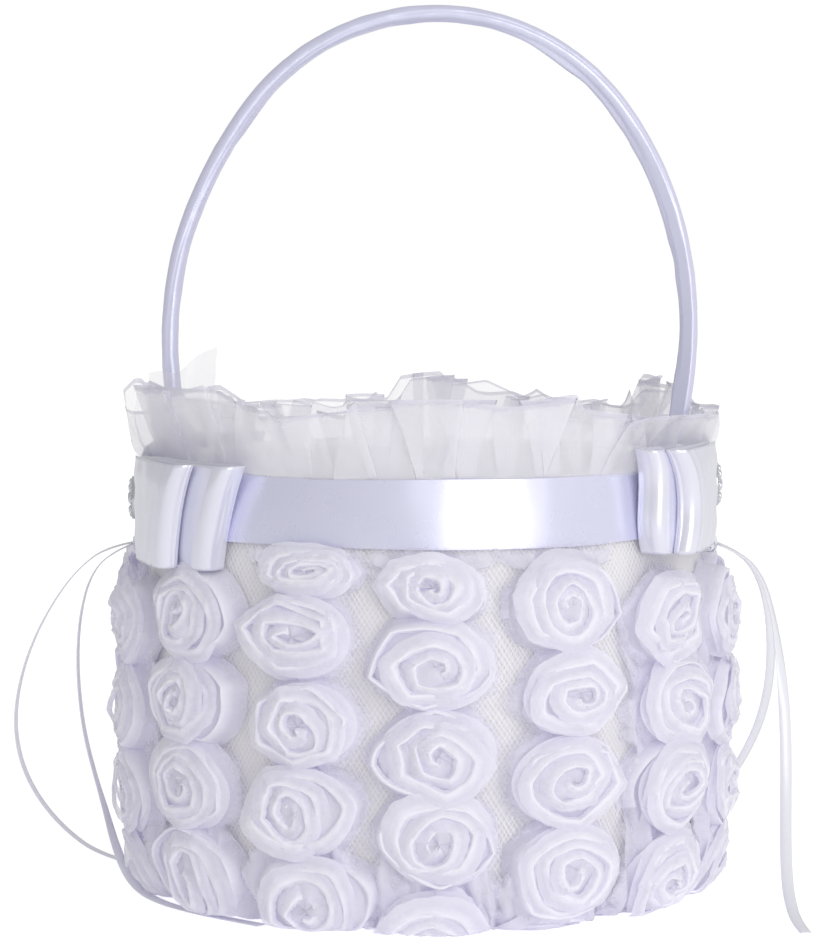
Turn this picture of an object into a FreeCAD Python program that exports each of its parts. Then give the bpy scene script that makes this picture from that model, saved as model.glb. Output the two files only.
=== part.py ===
"""Flower girl basket: a fabric covered bowl with a hoop handle, a gathered rim and side bows.

Frame: millimetres, +Z up, origin at the centre of the underside, -Y is the front and the handle
spans along X.  A moulded bowl carries, from the inside out, a sewn lining, a satin cover, a net
overlay with columns of wound rosettes, two gathered organza ruffles and a satin band.  The hoop
handle is a steel wire in a satin sleeve whose two legs stand in channels sewn on the lining.  Each
side has a bow of four loops, a centre knot, a rhinestone cluster and two narrow ribbon tails.
"""

import FreeCAD
import Part
import Sketcher
import math
import os

from FreeCAD import Placement, Rotation, Vector

DRIVING_SIZES = {
    # bowl, measured on its outer face
    "rim_height": 109.0,
    "rim_radius": 66.2,
    "belly_height": 52.0,
    "belly_radius": 70.0,
    "bowl_bottom": 2.6,
    "corner_radius": 16.0,
    "bowl_wall": 1.8,
    # fabric skins, each laid on the one before it
    "cover_wall": 0.4,
    "net_wall": 0.4,
    "lining_wall": 0.5,
    "net_top": 99.5,
    "lining_lip": 0.6,
    # boards
    "base_board_radius": 50.0,
    "base_board_height": 1.2,
    "pad_radius": 49.0,
    "pad_height": 3.0,
    # gathered rim
    "ruffle_wall": 0.5,
    "outer_ruffle_bottom": 100.0,
    "outer_ruffle_top": 127.6,
    "outer_ruffle_flare": 6.0,
    "inner_ruffle_top": 130.5,
    "inner_ruffle_flare": 4.5,
    # satin band
    "band_bottom": 93.0,
    "band_wall": 0.4,
    # handle
    "handle_top": 221.1,
    "handle_half_span": 66.2,
    "crown_radius": 58.0,
    "side_bend_radius": 100.0,
    "foot_bend_radius": 30.0,
    "leg_offset": 60.8,
    "leg_bottom": 74.0,
    "wire_radius": 1.3,
    "sleeve_radius": 2.2,
    "channel_wall": 0.6,
    "cap_height": 5.0,
    # bows
    "ribbon_width": 25.4,
    "ribbon_wall": 0.45,
    "bow_height": 99.5,
    "loop_root": 4.4,
    "long_loop_angle": 48.0,
    "short_loop_angle": 37.0,
    "bow_knot_width": 8.8,
    "bow_knot_depth": 3.0,
    "bow_knot_height": 20.0,
    "setting_radius": 5.5,
    "setting_height": 1.0,
    "centre_stone_radius": 2.1,
    "side_stone_radius": 1.25,
    "stone_height": 1.3,
    # narrow ribbon
    "tail_width": 3.0,
    "tail_knot_depth": 4.2,
    "tail_knot_width": 8.4,
    "tail_knot_height": 4.2,
    # rosettes
    "rosette_half_width": 14.0,
    "rosette_half_height": 9.9,
    "rosette_depth": 8.8,
    "rosette_pitch": 20.6,
    "rosette_floor_gap": 3.4,
}

COLUMNS = 14
FIRST_COLUMN_ANGLE = 1.5
# Height of the highest full rosette in each column, going round from the front towards +X.
COLUMN_STARTS = (66.2, 79.5, 74.5, 71.0, 73.8, 70.0, 76.5, 68.0, 81.0, 72.5, 74.0, 69.5, 75.4, 72.3)
UNDER_BOWS = (2, 3, 4, 5, 9, 10, 11, 12)
LEAST_SQUASHED = 3.6  # half height of the smallest rosette that fills a gap

SIDE_STONES = 8
FITTING_GAP = 0.15  # clearance between soft pieces that lie on each other


class Size:
    """A length that knows its number and the sheet formula that it comes from."""

    def __init__(self, value, formula=None):
        self.value = float(value)
        self.formula = formula or repr(float(value))

    def join(self, other, sign, value):
        return Size(value, "(%s %s %s)" % (self.formula, sign, other.formula))

    def __add__(self, other):
        other = as_size(other)
        return self.join(other, "+", self.value + other.value)

    def __sub__(self, other):
        other = as_size(other)
        return self.join(other, "-", self.value - other.value)

    def __mul__(self, other):
        other = as_size(other)
        return self.join(other, "*", self.value * other.value)

    def __truediv__(self, other):
        other = as_size(other)
        return self.join(other, "/", self.value / other.value)


def as_size(number):
    return number if isinstance(number, Size) else Size(number)


def root(size):
    return Size(math.sqrt(size.value), "sqrt(%s)" % size.formula)


doc = FreeCAD.newDocument("flower_girl_basket")
sheet = doc.addObject("Spreadsheet::Sheet", "sizes")
for row, (alias, number) in enumerate(DRIVING_SIZES.items(), start=1):
    sheet.set("A%d" % row, alias)
    sheet.set("B%d" % row, repr(number))
    sheet.setAlias("B%d" % row, alias)
doc.recompute()


def dim(alias):
    """The driving dimension of that name."""
    return Size(sheet.get(alias), "sizes." + alias)


subparts = {}


def keep(node, feature):
    """Names a finished sub-part, which is written to a STEP file of that name."""
    feature.Label = node
    subparts[node] = feature
    return feature


# ---------------------------------------------------------------- sketch helpers


def new_body(name):
    return doc.addObject("PartDesign::Body", name)


def new_sketch(body, plane="XZ_Plane", offset=None):
    sketch = body.newObject("Sketcher::SketchObject", body.Name + "_sketch")
    face = [f for f in body.Origin.OriginFeatures if f.Role == plane][0]
    sketch.AttachmentSupport = [(face, "")]
    sketch.MapMode = "FlatFace"
    if offset is not None:
        sketch.setExpression(".AttachmentOffset.Base.z", offset.formula)
    return sketch


def fix(sketch, kind, *where_and_size):
    """Adds a dimensional constraint and binds it to its formula."""
    *where, size = where_and_size
    index = sketch.addConstraint(Sketcher.Constraint(kind, *where, size.value))
    sketch.setExpression("Constraints[%d]" % index, size.formula)


def place(sketch, geometry, point, x=None, y=None):
    """Fixes a point of the sketch at x and y from its origin."""
    if x is not None:
        fix(sketch, "DistanceX", -1, 1, geometry, point, x)
    if y is not None:
        fix(sketch, "DistanceY", -1, 1, geometry, point, y)


def polygon(sketch, corners):
    """A closed outline of straight lines through (x, y) sizes."""
    points = [Vector(x.value, y.value, 0) for x, y in corners]
    count = len(points)
    for i in range(count):
        sketch.addGeometry(Part.LineSegment(points[i], points[(i + 1) % count]), False)
    for i in range(count):
        sketch.addConstraint(Sketcher.Constraint("Coincident", i, 2, (i + 1) % count, 1))
    for i, (x, y) in enumerate(corners):
        place(sketch, i, 1, x, y)


def arc(centre, radius, start, end):
    circle = Part.Circle(Vector(centre[0], centre[1], 0), Vector(0, 0, 1), radius)
    return Part.ArcOfCircle(circle, start, end)


def revolve(body, sketch):
    feature = body.newObject("PartDesign::Revolution", body.Name + "_turned")
    feature.Profile = sketch
    feature.ReferenceAxis = (sketch, ["V_Axis"])
    feature.Angle = 360.0
    return feature


# ---------------------------------------------------------------- bowl profile

rise = dim("rim_height") - dim("belly_height")
taper = dim("belly_radius") - dim("rim_radius")
SIDE_RADIUS = (rise * rise + taper * taper) / (taper * 2)
SIDE_X = dim("belly_radius") - SIDE_RADIUS
SIDE_Z = dim("belly_height")
CORNER_Z = dim("bowl_bottom") + dim("corner_radius")
centre_gap = SIDE_RADIUS - dim("corner_radius")
CORNER_X = SIDE_X + root(centre_gap * centre_gap - (SIDE_Z - CORNER_Z) * (SIDE_Z - CORNER_Z))
JOIN_ANGLE = math.atan2((CORNER_Z - SIDE_Z).value, (CORNER_X - SIDE_X).value)


def side_radius_at(height, offset=0.0):
    """Radius from the bowl's axis of the skin that lies offset outside the bowl's outer face."""
    reach = SIDE_RADIUS.value + offset
    return SIDE_X.value + math.sqrt(reach**2 - (height - SIDE_Z.value) ** 2)


def contour(sketch, offset, top):
    """One wall face of the bowl, offset outwards: flat bottom, corner arc and bulging side arc."""
    bottom = dim("bowl_bottom") - offset
    corner, side = dim("corner_radius") + offset, SIDE_RADIUS + offset
    end = math.asin((top - SIDE_Z).value / side.value)
    flat = sketch.addGeometry(
        Part.LineSegment(Vector(0, bottom.value, 0), Vector(CORNER_X.value, bottom.value, 0)), False
    )
    bend = sketch.addGeometry(
        arc((CORNER_X.value, CORNER_Z.value), corner.value, -math.pi / 2, JOIN_ANGLE), False
    )
    wall = sketch.addGeometry(
        arc((SIDE_X.value, SIDE_Z.value), side.value, JOIN_ANGLE, end), False
    )
    sketch.addConstraint(Sketcher.Constraint("PointOnObject", flat, 1, -2))
    sketch.addConstraint(Sketcher.Constraint("Horizontal", flat))
    sketch.addConstraint(Sketcher.Constraint("Tangent", flat, 2, bend, 1))
    sketch.addConstraint(Sketcher.Constraint("Tangent", bend, 2, wall, 1))
    fix(sketch, "Radius", bend, corner)
    place(sketch, bend, 3, y=CORNER_Z)
    fix(sketch, "Radius", wall, side)
    place(sketch, wall, 3, SIDE_X, SIDE_Z)
    return flat, wall


def skin(name, inner, outer, top):
    """A bowl shaped wall between two offsets of the bowl's outer face, up to the height top."""
    body = new_body(name)
    sketch = new_sketch(body)
    outer_flat, outer_wall = contour(sketch, outer, top)
    inner_flat, inner_wall = contour(sketch, inner, top)
    ends = [sketch.getPoint(outer_wall, 2), sketch.getPoint(inner_wall, 2)]
    lip = sketch.addGeometry(Part.LineSegment(*ends), False)
    sketch.addConstraint(Sketcher.Constraint("Coincident", lip, 1, outer_wall, 2))
    sketch.addConstraint(Sketcher.Constraint("Coincident", lip, 2, inner_wall, 2))
    sketch.addConstraint(Sketcher.Constraint("Horizontal", lip))
    place(sketch, outer_wall, 2, y=top)
    middle = [sketch.getPoint(outer_flat, 1), sketch.getPoint(inner_flat, 1)]
    axis = sketch.addGeometry(Part.LineSegment(*middle), False)
    sketch.addConstraint(Sketcher.Constraint("Coincident", axis, 1, outer_flat, 1))
    sketch.addConstraint(Sketcher.Constraint("Coincident", axis, 2, inner_flat, 1))
    revolve(body, sketch)
    return body


def filled_contour(name, offset, top):
    """The whole space inside one wall face of the bowl, up to the height top."""
    body = new_body(name)
    sketch = new_sketch(body)
    flat, wall = contour(sketch, offset, top)
    end = sketch.getPoint(wall, 2)
    lid = sketch.addGeometry(Part.LineSegment(end, Vector(0, end.y, 0)), False)
    axis = sketch.addGeometry(Part.LineSegment(Vector(0, end.y, 0), sketch.getPoint(flat, 1)), False)
    sketch.addConstraint(Sketcher.Constraint("Coincident", lid, 1, wall, 2))
    sketch.addConstraint(Sketcher.Constraint("Coincident", lid, 2, axis, 1))
    sketch.addConstraint(Sketcher.Constraint("Coincident", axis, 2, flat, 1))
    sketch.addConstraint(Sketcher.Constraint("Horizontal", lid))
    sketch.addConstraint(Sketcher.Constraint("PointOnObject", axis, 1, -2))
    place(sketch, wall, 2, y=top)
    revolve(body, sketch)
    return body


def collar(name, inner, outer, bottom, top):
    """A strip of wall that follows the bowl's side between two heights."""
    body = new_body(name)
    sketch = new_sketch(body)
    walls = []
    for offset in (outer, inner):
        radius = SIDE_RADIUS + offset
        start = math.asin((bottom - SIDE_Z).value / radius.value)
        end = math.asin((top - SIDE_Z).value / radius.value)
        wall = sketch.addGeometry(
            arc((SIDE_X.value, SIDE_Z.value), radius.value, start, end), False
        )
        fix(sketch, "Radius", wall, radius)
        place(sketch, wall, 3, SIDE_X, SIDE_Z)
        place(sketch, wall, 1, y=bottom)
        place(sketch, wall, 2, y=top)
        walls.append(wall)
    for end in (1, 2):
        points = [sketch.getPoint(wall, end) for wall in walls]
        edge = sketch.addGeometry(Part.LineSegment(*points), False)
        sketch.addConstraint(Sketcher.Constraint("Coincident", edge, 1, walls[0], end))
        sketch.addConstraint(Sketcher.Constraint("Coincident", edge, 2, walls[1], end))
    revolve(body, sketch)
    return body


# ---------------------------------------------------------------- bowl, skins and boards

NONE = Size(0.0)
COVER_OUT = dim("cover_wall")
NET_OUT = COVER_OUT + dim("net_wall")
RUFFLE_OUT = NET_OUT + dim("ruffle_wall")
BAND_OUT = RUFFLE_OUT + dim("band_wall")
BOWL_IN = NONE - dim("bowl_wall")
LINING_IN = BOWL_IN - dim("lining_wall")


def disc(name, radius, height, bottom, edge):
    """A round board with eased edges."""
    body = new_body(name)
    sketch = new_sketch(body, "XY_Plane", bottom)
    sketch.addGeometry(Part.Circle(Vector(0, 0, 0), Vector(0, 0, 1), radius.value), False)
    sketch.addConstraint(Sketcher.Constraint("Coincident", 0, 3, -1, 1))
    fix(sketch, "Radius", 0, radius)
    pad = body.newObject("PartDesign::Pad", body.Name + "_pad")
    pad.Profile = sketch
    pad.setExpression("Length", height.formula)
    doc.recompute()
    rounded = body.newObject("PartDesign::Fillet", body.Name + "_edge")
    top = max(range(len(pad.Shape.Edges)), key=lambda i: pad.Shape.Edges[i].CenterOfMass.z)
    rounded.Base = (pad, ["Edge%d" % (top + 1)])
    rounded.Radius = edge
    body.Tip = rounded
    return body


def build_bowl():
    keep("bowl_shell", skin("bowl_shell", BOWL_IN, NONE, dim("rim_height")))
    keep("satin_cover", skin("satin_cover", NONE, COVER_OUT, dim("rim_height")))
    keep("net_overlay", skin("net_overlay", COVER_OUT, NET_OUT, dim("net_top")))
    board_bottom = NONE
    keep("base_board", disc("base_board", dim("base_board_radius"), dim("base_board_height"), board_bottom, 0.4))
    pad_bottom = dim("bowl_bottom") + dim("bowl_wall") + dim("lining_wall")
    keep("floor_pad", disc("floor_pad", dim("pad_radius"), dim("pad_height"), pad_bottom, 1.2))


def build_lining():
    """Lining skin with a lip over the rim and one closed fabric channel for each handle leg."""
    wall = skin("lining_wall_skin", LINING_IN, BOWL_IN, dim("rim_height"))
    lip_body = new_body("lining_lip_ring")
    sketch = new_sketch(lip_body)
    inner = Size(side_radius_at(dim("rim_height").value, LINING_IN.value))
    outer = dim("rim_radius") + dim("cover_wall")
    top = dim("rim_height") + dim("lining_lip")
    polygon(sketch, [(inner, dim("rim_height")), (outer, dim("rim_height")), (outer, top), (inner, top)])
    revolve(lip_body, sketch)
    doc.recompute()
    hollow = filled_contour("lining_limit", BOWL_IN, dim("rim_height"))
    reach = dim("sleeve_radius") + 0.1 + dim("channel_wall")
    channels = []
    for sign in (-1, 1):
        rod = doc.addObject("Part::Cylinder", "leg_channel")
        rod.setExpression("Radius", reach.formula)
        rod.setExpression("Height", (top - dim("leg_bottom")).formula)
        rod.setExpression(".Placement.Base.x", (dim("leg_offset") * sign).formula)
        rod.setExpression(".Placement.Base.z", dim("leg_bottom").formula)
        seam = doc.addObject("Part::Box", "leg_channel_seam")
        seam_length = Size(12.0)
        seam.setExpression("Length", seam_length.formula)
        seam.setExpression("Width", (dim("channel_wall") * 4).formula)
        seam.setExpression("Height", (top - dim("leg_bottom")).formula)
        start = dim("leg_offset") * sign - (seam_length if sign < 0 else NONE)
        seam.setExpression(".Placement.Base.x", start.formula)
        seam.setExpression(".Placement.Base.y", (NONE - dim("channel_wall") * 2).formula)
        seam.setExpression(".Placement.Base.z", dim("leg_bottom").formula)
        channels += [rod, seam]
    sewn_on = doc.addObject("Part::MultiFuse", "lining_channels")
    sewn_on.Shapes = channels
    inside = doc.addObject("Part::Common", "lining_channels_inside")
    inside.Base, inside.Tool = sewn_on, hollow
    sewn = doc.addObject("Part::MultiFuse", "lining_sewn")
    sewn.Shapes = [wall, lip_body, inside]
    lining = doc.addObject("Part::Cut", "satin_lining")
    lining.Base = sewn
    lining.Tool = swept_handle("handle_clearance", dim("sleeve_radius") + 0.1)
    keep("satin_lining", lining)


def build_rim():
    """The satin band and the two gathered organza strips, as plain flared rings."""
    keep("satin_band", collar("satin_band", RUFFLE_OUT, BAND_OUT, dim("band_bottom"), dim("rim_height")))
    rim, rim_radius = dim("rim_height"), dim("rim_radius")
    foot = Size(side_radius_at(dim("outer_ruffle_bottom").value, NET_OUT.value))
    wall = dim("ruffle_wall")
    neck, flare, top = rim_radius + NET_OUT, dim("outer_ruffle_flare"), dim("outer_ruffle_top")
    body = new_body("outer_ruffle")
    polygon(
        new_sketch(body),
        [
            (foot, dim("outer_ruffle_bottom")),
            (foot + wall, dim("outer_ruffle_bottom")),
            (neck + wall, rim),
            (neck + wall + flare, top),
            (neck + flare, top),
            (neck, rim),
        ],
    )
    revolve(body, body.Group[0])
    keep("outer_ruffle", body)
    low, high = rim + dim("lining_lip"), dim("inner_ruffle_top")
    neck, flare = rim_radius, dim("inner_ruffle_flare")
    body = new_body("inner_ruffle")
    polygon(
        new_sketch(body),
        [(neck - wall, low), (neck, low), (neck + flare, high), (neck + flare - wall, high)],
    )
    revolve(body, body.Group[0])
    keep("inner_ruffle", body)


# ---------------------------------------------------------------- handle


def handle_path(sketch):
    """Half hoop outline by tangent arcs: leg, foot bend, side bend and crown, then its mirror."""
    crown, side, foot = (dim(n) for n in ("crown_radius", "side_bend_radius", "foot_bend_radius"))
    crown_z = dim("handle_top") - crown
    side_x = dim("handle_half_span") - side
    shift = side - crown
    side_z = crown_z - root(shift * shift - side_x * side_x)
    shoulder = math.atan2((crown_z - side_z).value, (NONE - side_x).value)
    foot_x = dim("leg_offset") + foot
    reach = foot + side
    foot_z = side_z - root(reach * reach - (foot_x - side_x) * (foot_x - side_x))
    turn = math.atan2((foot_z - side_z).value, (foot_x - side_x).value)
    start = Vector(dim("leg_offset").value, dim("leg_bottom").value, 0)
    pieces = []
    for sign in (1, -1):
        leg_end = Vector(sign * start.x, foot_z.value, 0)
        leg = Part.LineSegment(Vector(sign * start.x, start.y, 0), leg_end)
        if sign > 0:
            bend = arc((foot_x.value, foot_z.value), foot.value, math.pi + turn, math.pi)
            flank = arc((side_x.value, side_z.value), side.value, turn, shoulder)
        else:
            bend = arc((-foot_x.value, foot_z.value), foot.value, 0, -turn)
            flank = arc((-side_x.value, side_z.value), side.value, math.pi - shoulder, math.pi - turn)
        pieces += [leg, bend, flank]
    pieces.append(arc((0, crown_z.value), crown.value, shoulder, math.pi - shoulder))
    for piece in pieces:
        sketch.addGeometry(piece, False)
    right, left, top = (0, 1, 2), (3, 4, 5), 6
    for leg, bend, flank in (right, left):
        sketch.addConstraint(Sketcher.Constraint("Vertical", leg))
        place(sketch, leg, 1, y=dim("leg_bottom"))
        fix(sketch, "Radius", bend, foot)
        fix(sketch, "Radius", flank, side)
    place(sketch, 0, 1, x=dim("leg_offset"))
    place(sketch, 3, 1, x=NONE - dim("leg_offset"))
    place(sketch, 2, 3, x=side_x)
    place(sketch, 5, 3, x=NONE - side_x)
    for first, first_end, second, second_end in (
        (0, 2, 1, 2),
        (1, 1, 2, 1),
        (2, 2, top, 1),
        (3, 2, 4, 1),
        (4, 2, 5, 2),
        (5, 1, top, 2),
    ):
        sketch.addConstraint(
            Sketcher.Constraint("Tangent", first, first_end, second, second_end)
        )
    fix(sketch, "Radius", top, crown)
    place(sketch, top, 3, x=NONE, y=crown_z)


def swept_handle(name, radius, bore=None):
    """A round bar, or a tube where bore is given, along the hoop."""
    body = new_body(name)
    spine = new_sketch(body)
    handle_path(spine)
    section = new_sketch(body, "XY_Plane", dim("leg_bottom"))
    for index, size in enumerate([radius] + ([bore] if bore is not None else [])):
        centre = Vector(dim("leg_offset").value, 0, 0)
        section.addGeometry(Part.Circle(centre, Vector(0, 0, 1), size.value), False)
        fix(section, "Radius", index, size)
        place(section, index, 3, x=dim("leg_offset"))
        section.addConstraint(Sketcher.Constraint("PointOnObject", index, 3, -1))
    doc.recompute()
    pipe = body.newObject("PartDesign::AdditivePipe", body.Name + "_swept")
    pipe.Profile = section
    pipe.Spine = (spine, ["Edge%d" % (i + 1) for i in range(7)])
    pipe.Mode = "Standard"
    return body


def build_handle():
    keep("handle_wire", swept_handle("handle_wire", dim("wire_radius")))
    keep("handle_sleeve", swept_handle("handle_sleeve", dim("sleeve_radius"), dim("wire_radius")))
    for side, sign in (("left", -1), ("right", 1)):
        cap = doc.addObject("Part::Cylinder", "handle_end_cap_" + side)
        cap.setExpression("Radius", dim("sleeve_radius").formula)
        cap.setExpression("Height", dim("cap_height").formula)
        cap.setExpression(".Placement.Base.x", (dim("leg_offset") * sign).formula)
        cap.setExpression(
            ".Placement.Base.z", (dim("leg_bottom") - dim("cap_height")).formula
        )
        keep("handle_end_cap_" + side, cap)


# ---------------------------------------------------------------- bows


def bow_seat():
    """Radius on which the bows rest, just clear of the band's widest edge."""
    return side_radius_at(dim("band_bottom").value, BAND_OUT.value) + FITTING_GAP


def polar(radius, degrees, way):
    """A point at that radius, turned from the +X axis towards +Y, or towards -Y when way is -1."""
    angle = math.radians(degrees)
    return Vector(radius * math.cos(angle), way * radius * math.sin(angle), 0)


def loop_outline(inside, outside, root_angle, tip_angle, way):
    """Flat outline of one ribbon loop that hugs the band.

    inside and outside hold its radii at the root, the middle and just before the tip."""
    middle = (root_angle + tip_angle) / 2
    angles = (root_angle, middle, tip_angle)
    inner = [polar(r, a, way) for r, a in zip(inside, angles)]
    outer = [polar(r, a, way) for r, a in zip(outside, angles)]
    tip_radius = (inside[2] + outside[2]) / 2
    half = (outside[2] - inside[2]) / 2
    tip = polar(tip_radius, tip_angle + math.degrees(half / tip_radius), way)
    return Part.Wire(
        [
            Part.Arc(*inner).toShape(),
            Part.Arc(inner[2], tip, outer[2]).toShape(),
            Part.Arc(*reversed(outer)).toShape(),
            Part.LineSegment(outer[0], inner[0]).toShape(),
        ]
    )


def ribbon_loop(node, outline, spin):
    """A hollow loop: the outline thickened inwards and raised to the ribbon's width."""
    flat = doc.addObject("Part::Feature", node + "_outline")
    flat.Shape = outline
    ring = doc.addObject("Part::Offset2D", node + "_ring")
    ring.Source = flat
    ring.setExpression("Value", "-" + dim("ribbon_wall").formula)
    ring.Fill = True
    loop = doc.addObject("Part::Extrusion", node)
    loop.Base = ring
    loop.DirMode = "Custom"
    loop.Dir = Vector(0, 0, 1)
    loop.Solid = True
    loop.setExpression("LengthFwd", dim("ribbon_width").formula)
    bottom = dim("bow_height") - dim("ribbon_width") / 2
    loop.setExpression(".Placement.Base.z", bottom.formula)
    loop.Placement.Rotation = Rotation(Vector(0, 0, 1), spin)
    keep(node, loop)


def build_loops():
    seat = bow_seat()
    root_angle = math.degrees(math.asin(dim("loop_root").value / seat))
    long_tip, short_tip = dim("long_loop_angle").value, dim("short_loop_angle").value
    layer = dim("bow_knot_depth").value / 2 - FITTING_GAP
    long_inside = (seat, seat, seat)
    long_outside = (seat + layer, seat + 3.2, seat + 3.4)
    short_inside = tuple(r + FITTING_GAP + 0.15 for r in (seat + layer, seat + 3.2, seat + 3.4))
    short_outside = (seat + 2 * layer + 0.3, seat + 6.6, seat + 7.4)
    for side, spin in (("left", 180.0), ("right", 0.0)):
        for place_name, way in (("front", -1), ("back", 1)):
            turned = way if side == "right" else -way
            for kind, inside, outside, tip in (
                ("long", long_inside, long_outside, long_tip),
                ("short", short_inside, short_outside, short_tip),
            ):
                outline = loop_outline(inside, outside, root_angle, tip, turned)
                ribbon_loop("bow_%s_%s_loop_%s" % (side, kind, place_name), outline, spin)


def eased_box(node, centre, spans, edge):
    """A box with rounded edges, given by its centre and its three spans."""
    box = doc.addObject("Part::Box", node + "_block")
    for name, span in zip(("Length", "Width", "Height"), spans):
        box.setExpression(name, span.formula)
    for axis, middle, span in zip("xyz", centre, spans):
        box.setExpression(".Placement.Base." + axis, (middle - span / 2).formula)
    doc.recompute()
    eased = doc.addObject("Part::Fillet", node)
    eased.Base = box
    eased.Edges = [(i + 1, edge, edge) for i in range(len(box.Shape.Edges))]
    return keep(node, eased)


def rhinestone(radius, height):
    """Half section of one cut stone: flat back, girdle, sloped crown and table."""
    return Part.Face(
        Part.makePolygon(
            [
                Vector(0, 0, 0),
                Vector(radius, 0, 0),
                Vector(radius, 0, height * 0.35),
                Vector(radius * 0.55, 0, height),
                Vector(0, 0, height),
                Vector(0, 0, 0),
            ]
        )
    ).revolve(Vector(0, 0, 0), Vector(0, 0, 1), 360)


def build_knots():
    seat = Size(bow_seat())
    spans = (dim("bow_knot_depth"), dim("bow_knot_width") - 0.4, dim("bow_knot_height"))
    face = seat + dim("bow_knot_depth")
    tail_spans = tuple(dim("tail_knot_" + name) for name in ("depth", "width", "height"))
    tail_z = dim("bow_height") - dim("bow_knot_height") / 2 - dim("tail_knot_height") / 2
    for side, sign in (("left", -1), ("right", 1)):
        middle = (seat + dim("bow_knot_depth") / 2) * sign
        eased_box("bow_%s_knot" % side, (middle, NONE, dim("bow_height")), spans, 0.9)
        tail_middle = (seat + dim("tail_knot_depth") / 2) * sign
        eased_box("tail_knot_" + side, (tail_middle, NONE, tail_z), tail_spans, 0.6)
        outwards = Rotation(Vector(0, 0, 1), Vector(sign, 0, 0))
        at = Vector(sign * face.value, 0, dim("bow_height").value)
        cup = doc.addObject("Part::Cylinder", "rhinestone_setting_" + side)
        cup.setExpression("Radius", dim("setting_radius").formula)
        cup.setExpression("Height", dim("setting_height").formula)
        cup.Placement = Placement(at, outwards)
        keep("rhinestone_setting_" + side, cup)
        stones = [rhinestone(dim("centre_stone_radius").value, dim("stone_height").value)]
        ring = dim("setting_radius").value - dim("side_stone_radius").value - 0.15
        for index in range(SIDE_STONES):
            stone = rhinestone(dim("side_stone_radius").value, dim("stone_height").value * 0.8)
            turn = 2 * math.pi * index / SIDE_STONES
            stone.translate(Vector(ring * math.cos(turn), ring * math.sin(turn), 0))
            stones.append(stone)
        cluster = doc.addObject("Part::Feature", "rhinestones_" + side)
        cluster.Shape = Part.makeCompound(stones)
        lifted = at + Vector(sign * dim("setting_height").value, 0, 0)
        cluster.Placement = Placement(lifted, outwards)
        keep("rhinestones_" + side, cluster)


# ---------------------------------------------------------------- narrow ribbon tails

# Each route leaves its knot's outer face, falls past the rosettes and ends on the floor.
TAIL_ROUTES = {
    "tail_left_outer": (
        (-81.5, 3.0, 86.0),
        (-89.0, 4.5, 80.0),
        (-95.0, 6.0, 72.0),
        (-100.5, 8.5, 62.0),
        (-104.5, 11.5, 51.0),
        (-106.5, 15.0, 39.5),
        (-105.5, 18.5, 28.5),
        (-101.5, 21.5, 18.5),
        (-94.5, 23.5, 10.0),
        (-85.5, 24.0, 4.4),
        (-76.0, 22.5, 1.9),
    ),
    "tail_left_inner": (
        (-80.5, -2.3, 84.8),
        (-85.2, -1.8, 78.6),
        (-87.6, -0.8, 69.5),
        (-88.6, 0.6, 59.5),
        (-88.4, 1.8, 49.0),
        (-87.2, 2.4, 38.5),
        (-84.8, 2.4, 28.5),
        (-81.8, 0.8, 19.0),
        (-79.0, -3.6, 10.6),
        (-75.4, -10.6, 5.0),
        (-70.8, -19.2, 2.3),
        (-64.8, -28.4, 1.7),
        (-57.4, -37.6, 1.7),
        (-48.6, -46.4, 1.7),
        (-39.6, -54.0, 1.7),
    ),
    "tail_right_long": (
        (80.6, -2.4, 85.0),
        (85.6, -2.6, 79.0),
        (88.2, -3.2, 70.0),
        (89.8, -4.2, 60.0),
        (90.8, -5.8, 49.5),
        (91.2, -8.2, 39.0),
        (91.0, -12.0, 29.0),
        (90.4, -17.4, 20.0),
        (89.8, -24.6, 12.2),
        (89.4, -33.6, 6.2),
        (89.6, -43.6, 2.8),
        (90.2, -54.0, 1.7),
        (90.9, -62.0, 1.7),
    ),
    "tail_right_curl": (
        (80.4, 2.4, 84.8),
        (85.2, 3.0, 78.6),
        (87.8, 4.2, 69.6),
        (88.8, 6.2, 59.6),
        (88.6, 9.6, 49.8),
        (87.2, 14.6, 40.8),
        (85.0, 21.2, 32.8),
        (82.2, 29.0, 25.2),
        (78.6, 37.4, 18.0),
        (73.8, 46.0, 11.6),
        (67.2, 54.0, 6.2),
        (58.8, 60.8, 2.9),
        (49.6, 66.4, 1.7),
        (41.6, 70.6, 1.7),
    ),
}
TAIL_SPACING = 2.2  # sideways from the middle of the knot to the middle of each tail
TAIL_HEIGHT = 87.4
ARC_SHARE = 0.45  # of the shorter run, taken by the arc at each corner


def rounded_route(points):
    """Straight runs joined by tangent arcs, and the tightest arc's radius."""
    edges, here, tightest = [], points[0], math.inf
    for before, corner, after in zip(points, points[1:], points[2:]):
        back, ahead = (before - corner), (after - corner)
        cut = ARC_SHARE * min(back.Length, ahead.Length)
        back.normalize()
        ahead.normalize()
        turn = math.pi - back.getAngle(ahead)
        radius = cut / math.tan(turn / 2)
        tightest = min(tightest, radius)
        start, end = corner + back * cut, corner + ahead * cut
        towards = back + ahead
        towards.normalize()
        centre = corner + towards * (radius / math.cos(turn / 2))
        middle = centre - towards * radius
        edges.append(Part.LineSegment(here, start).toShape())
        edges.append(Part.Arc(start, middle, end).toShape())
        here = end
    edges.append(Part.LineSegment(here, points[-1]).toShape())
    return Part.Wire(edges), tightest


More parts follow.
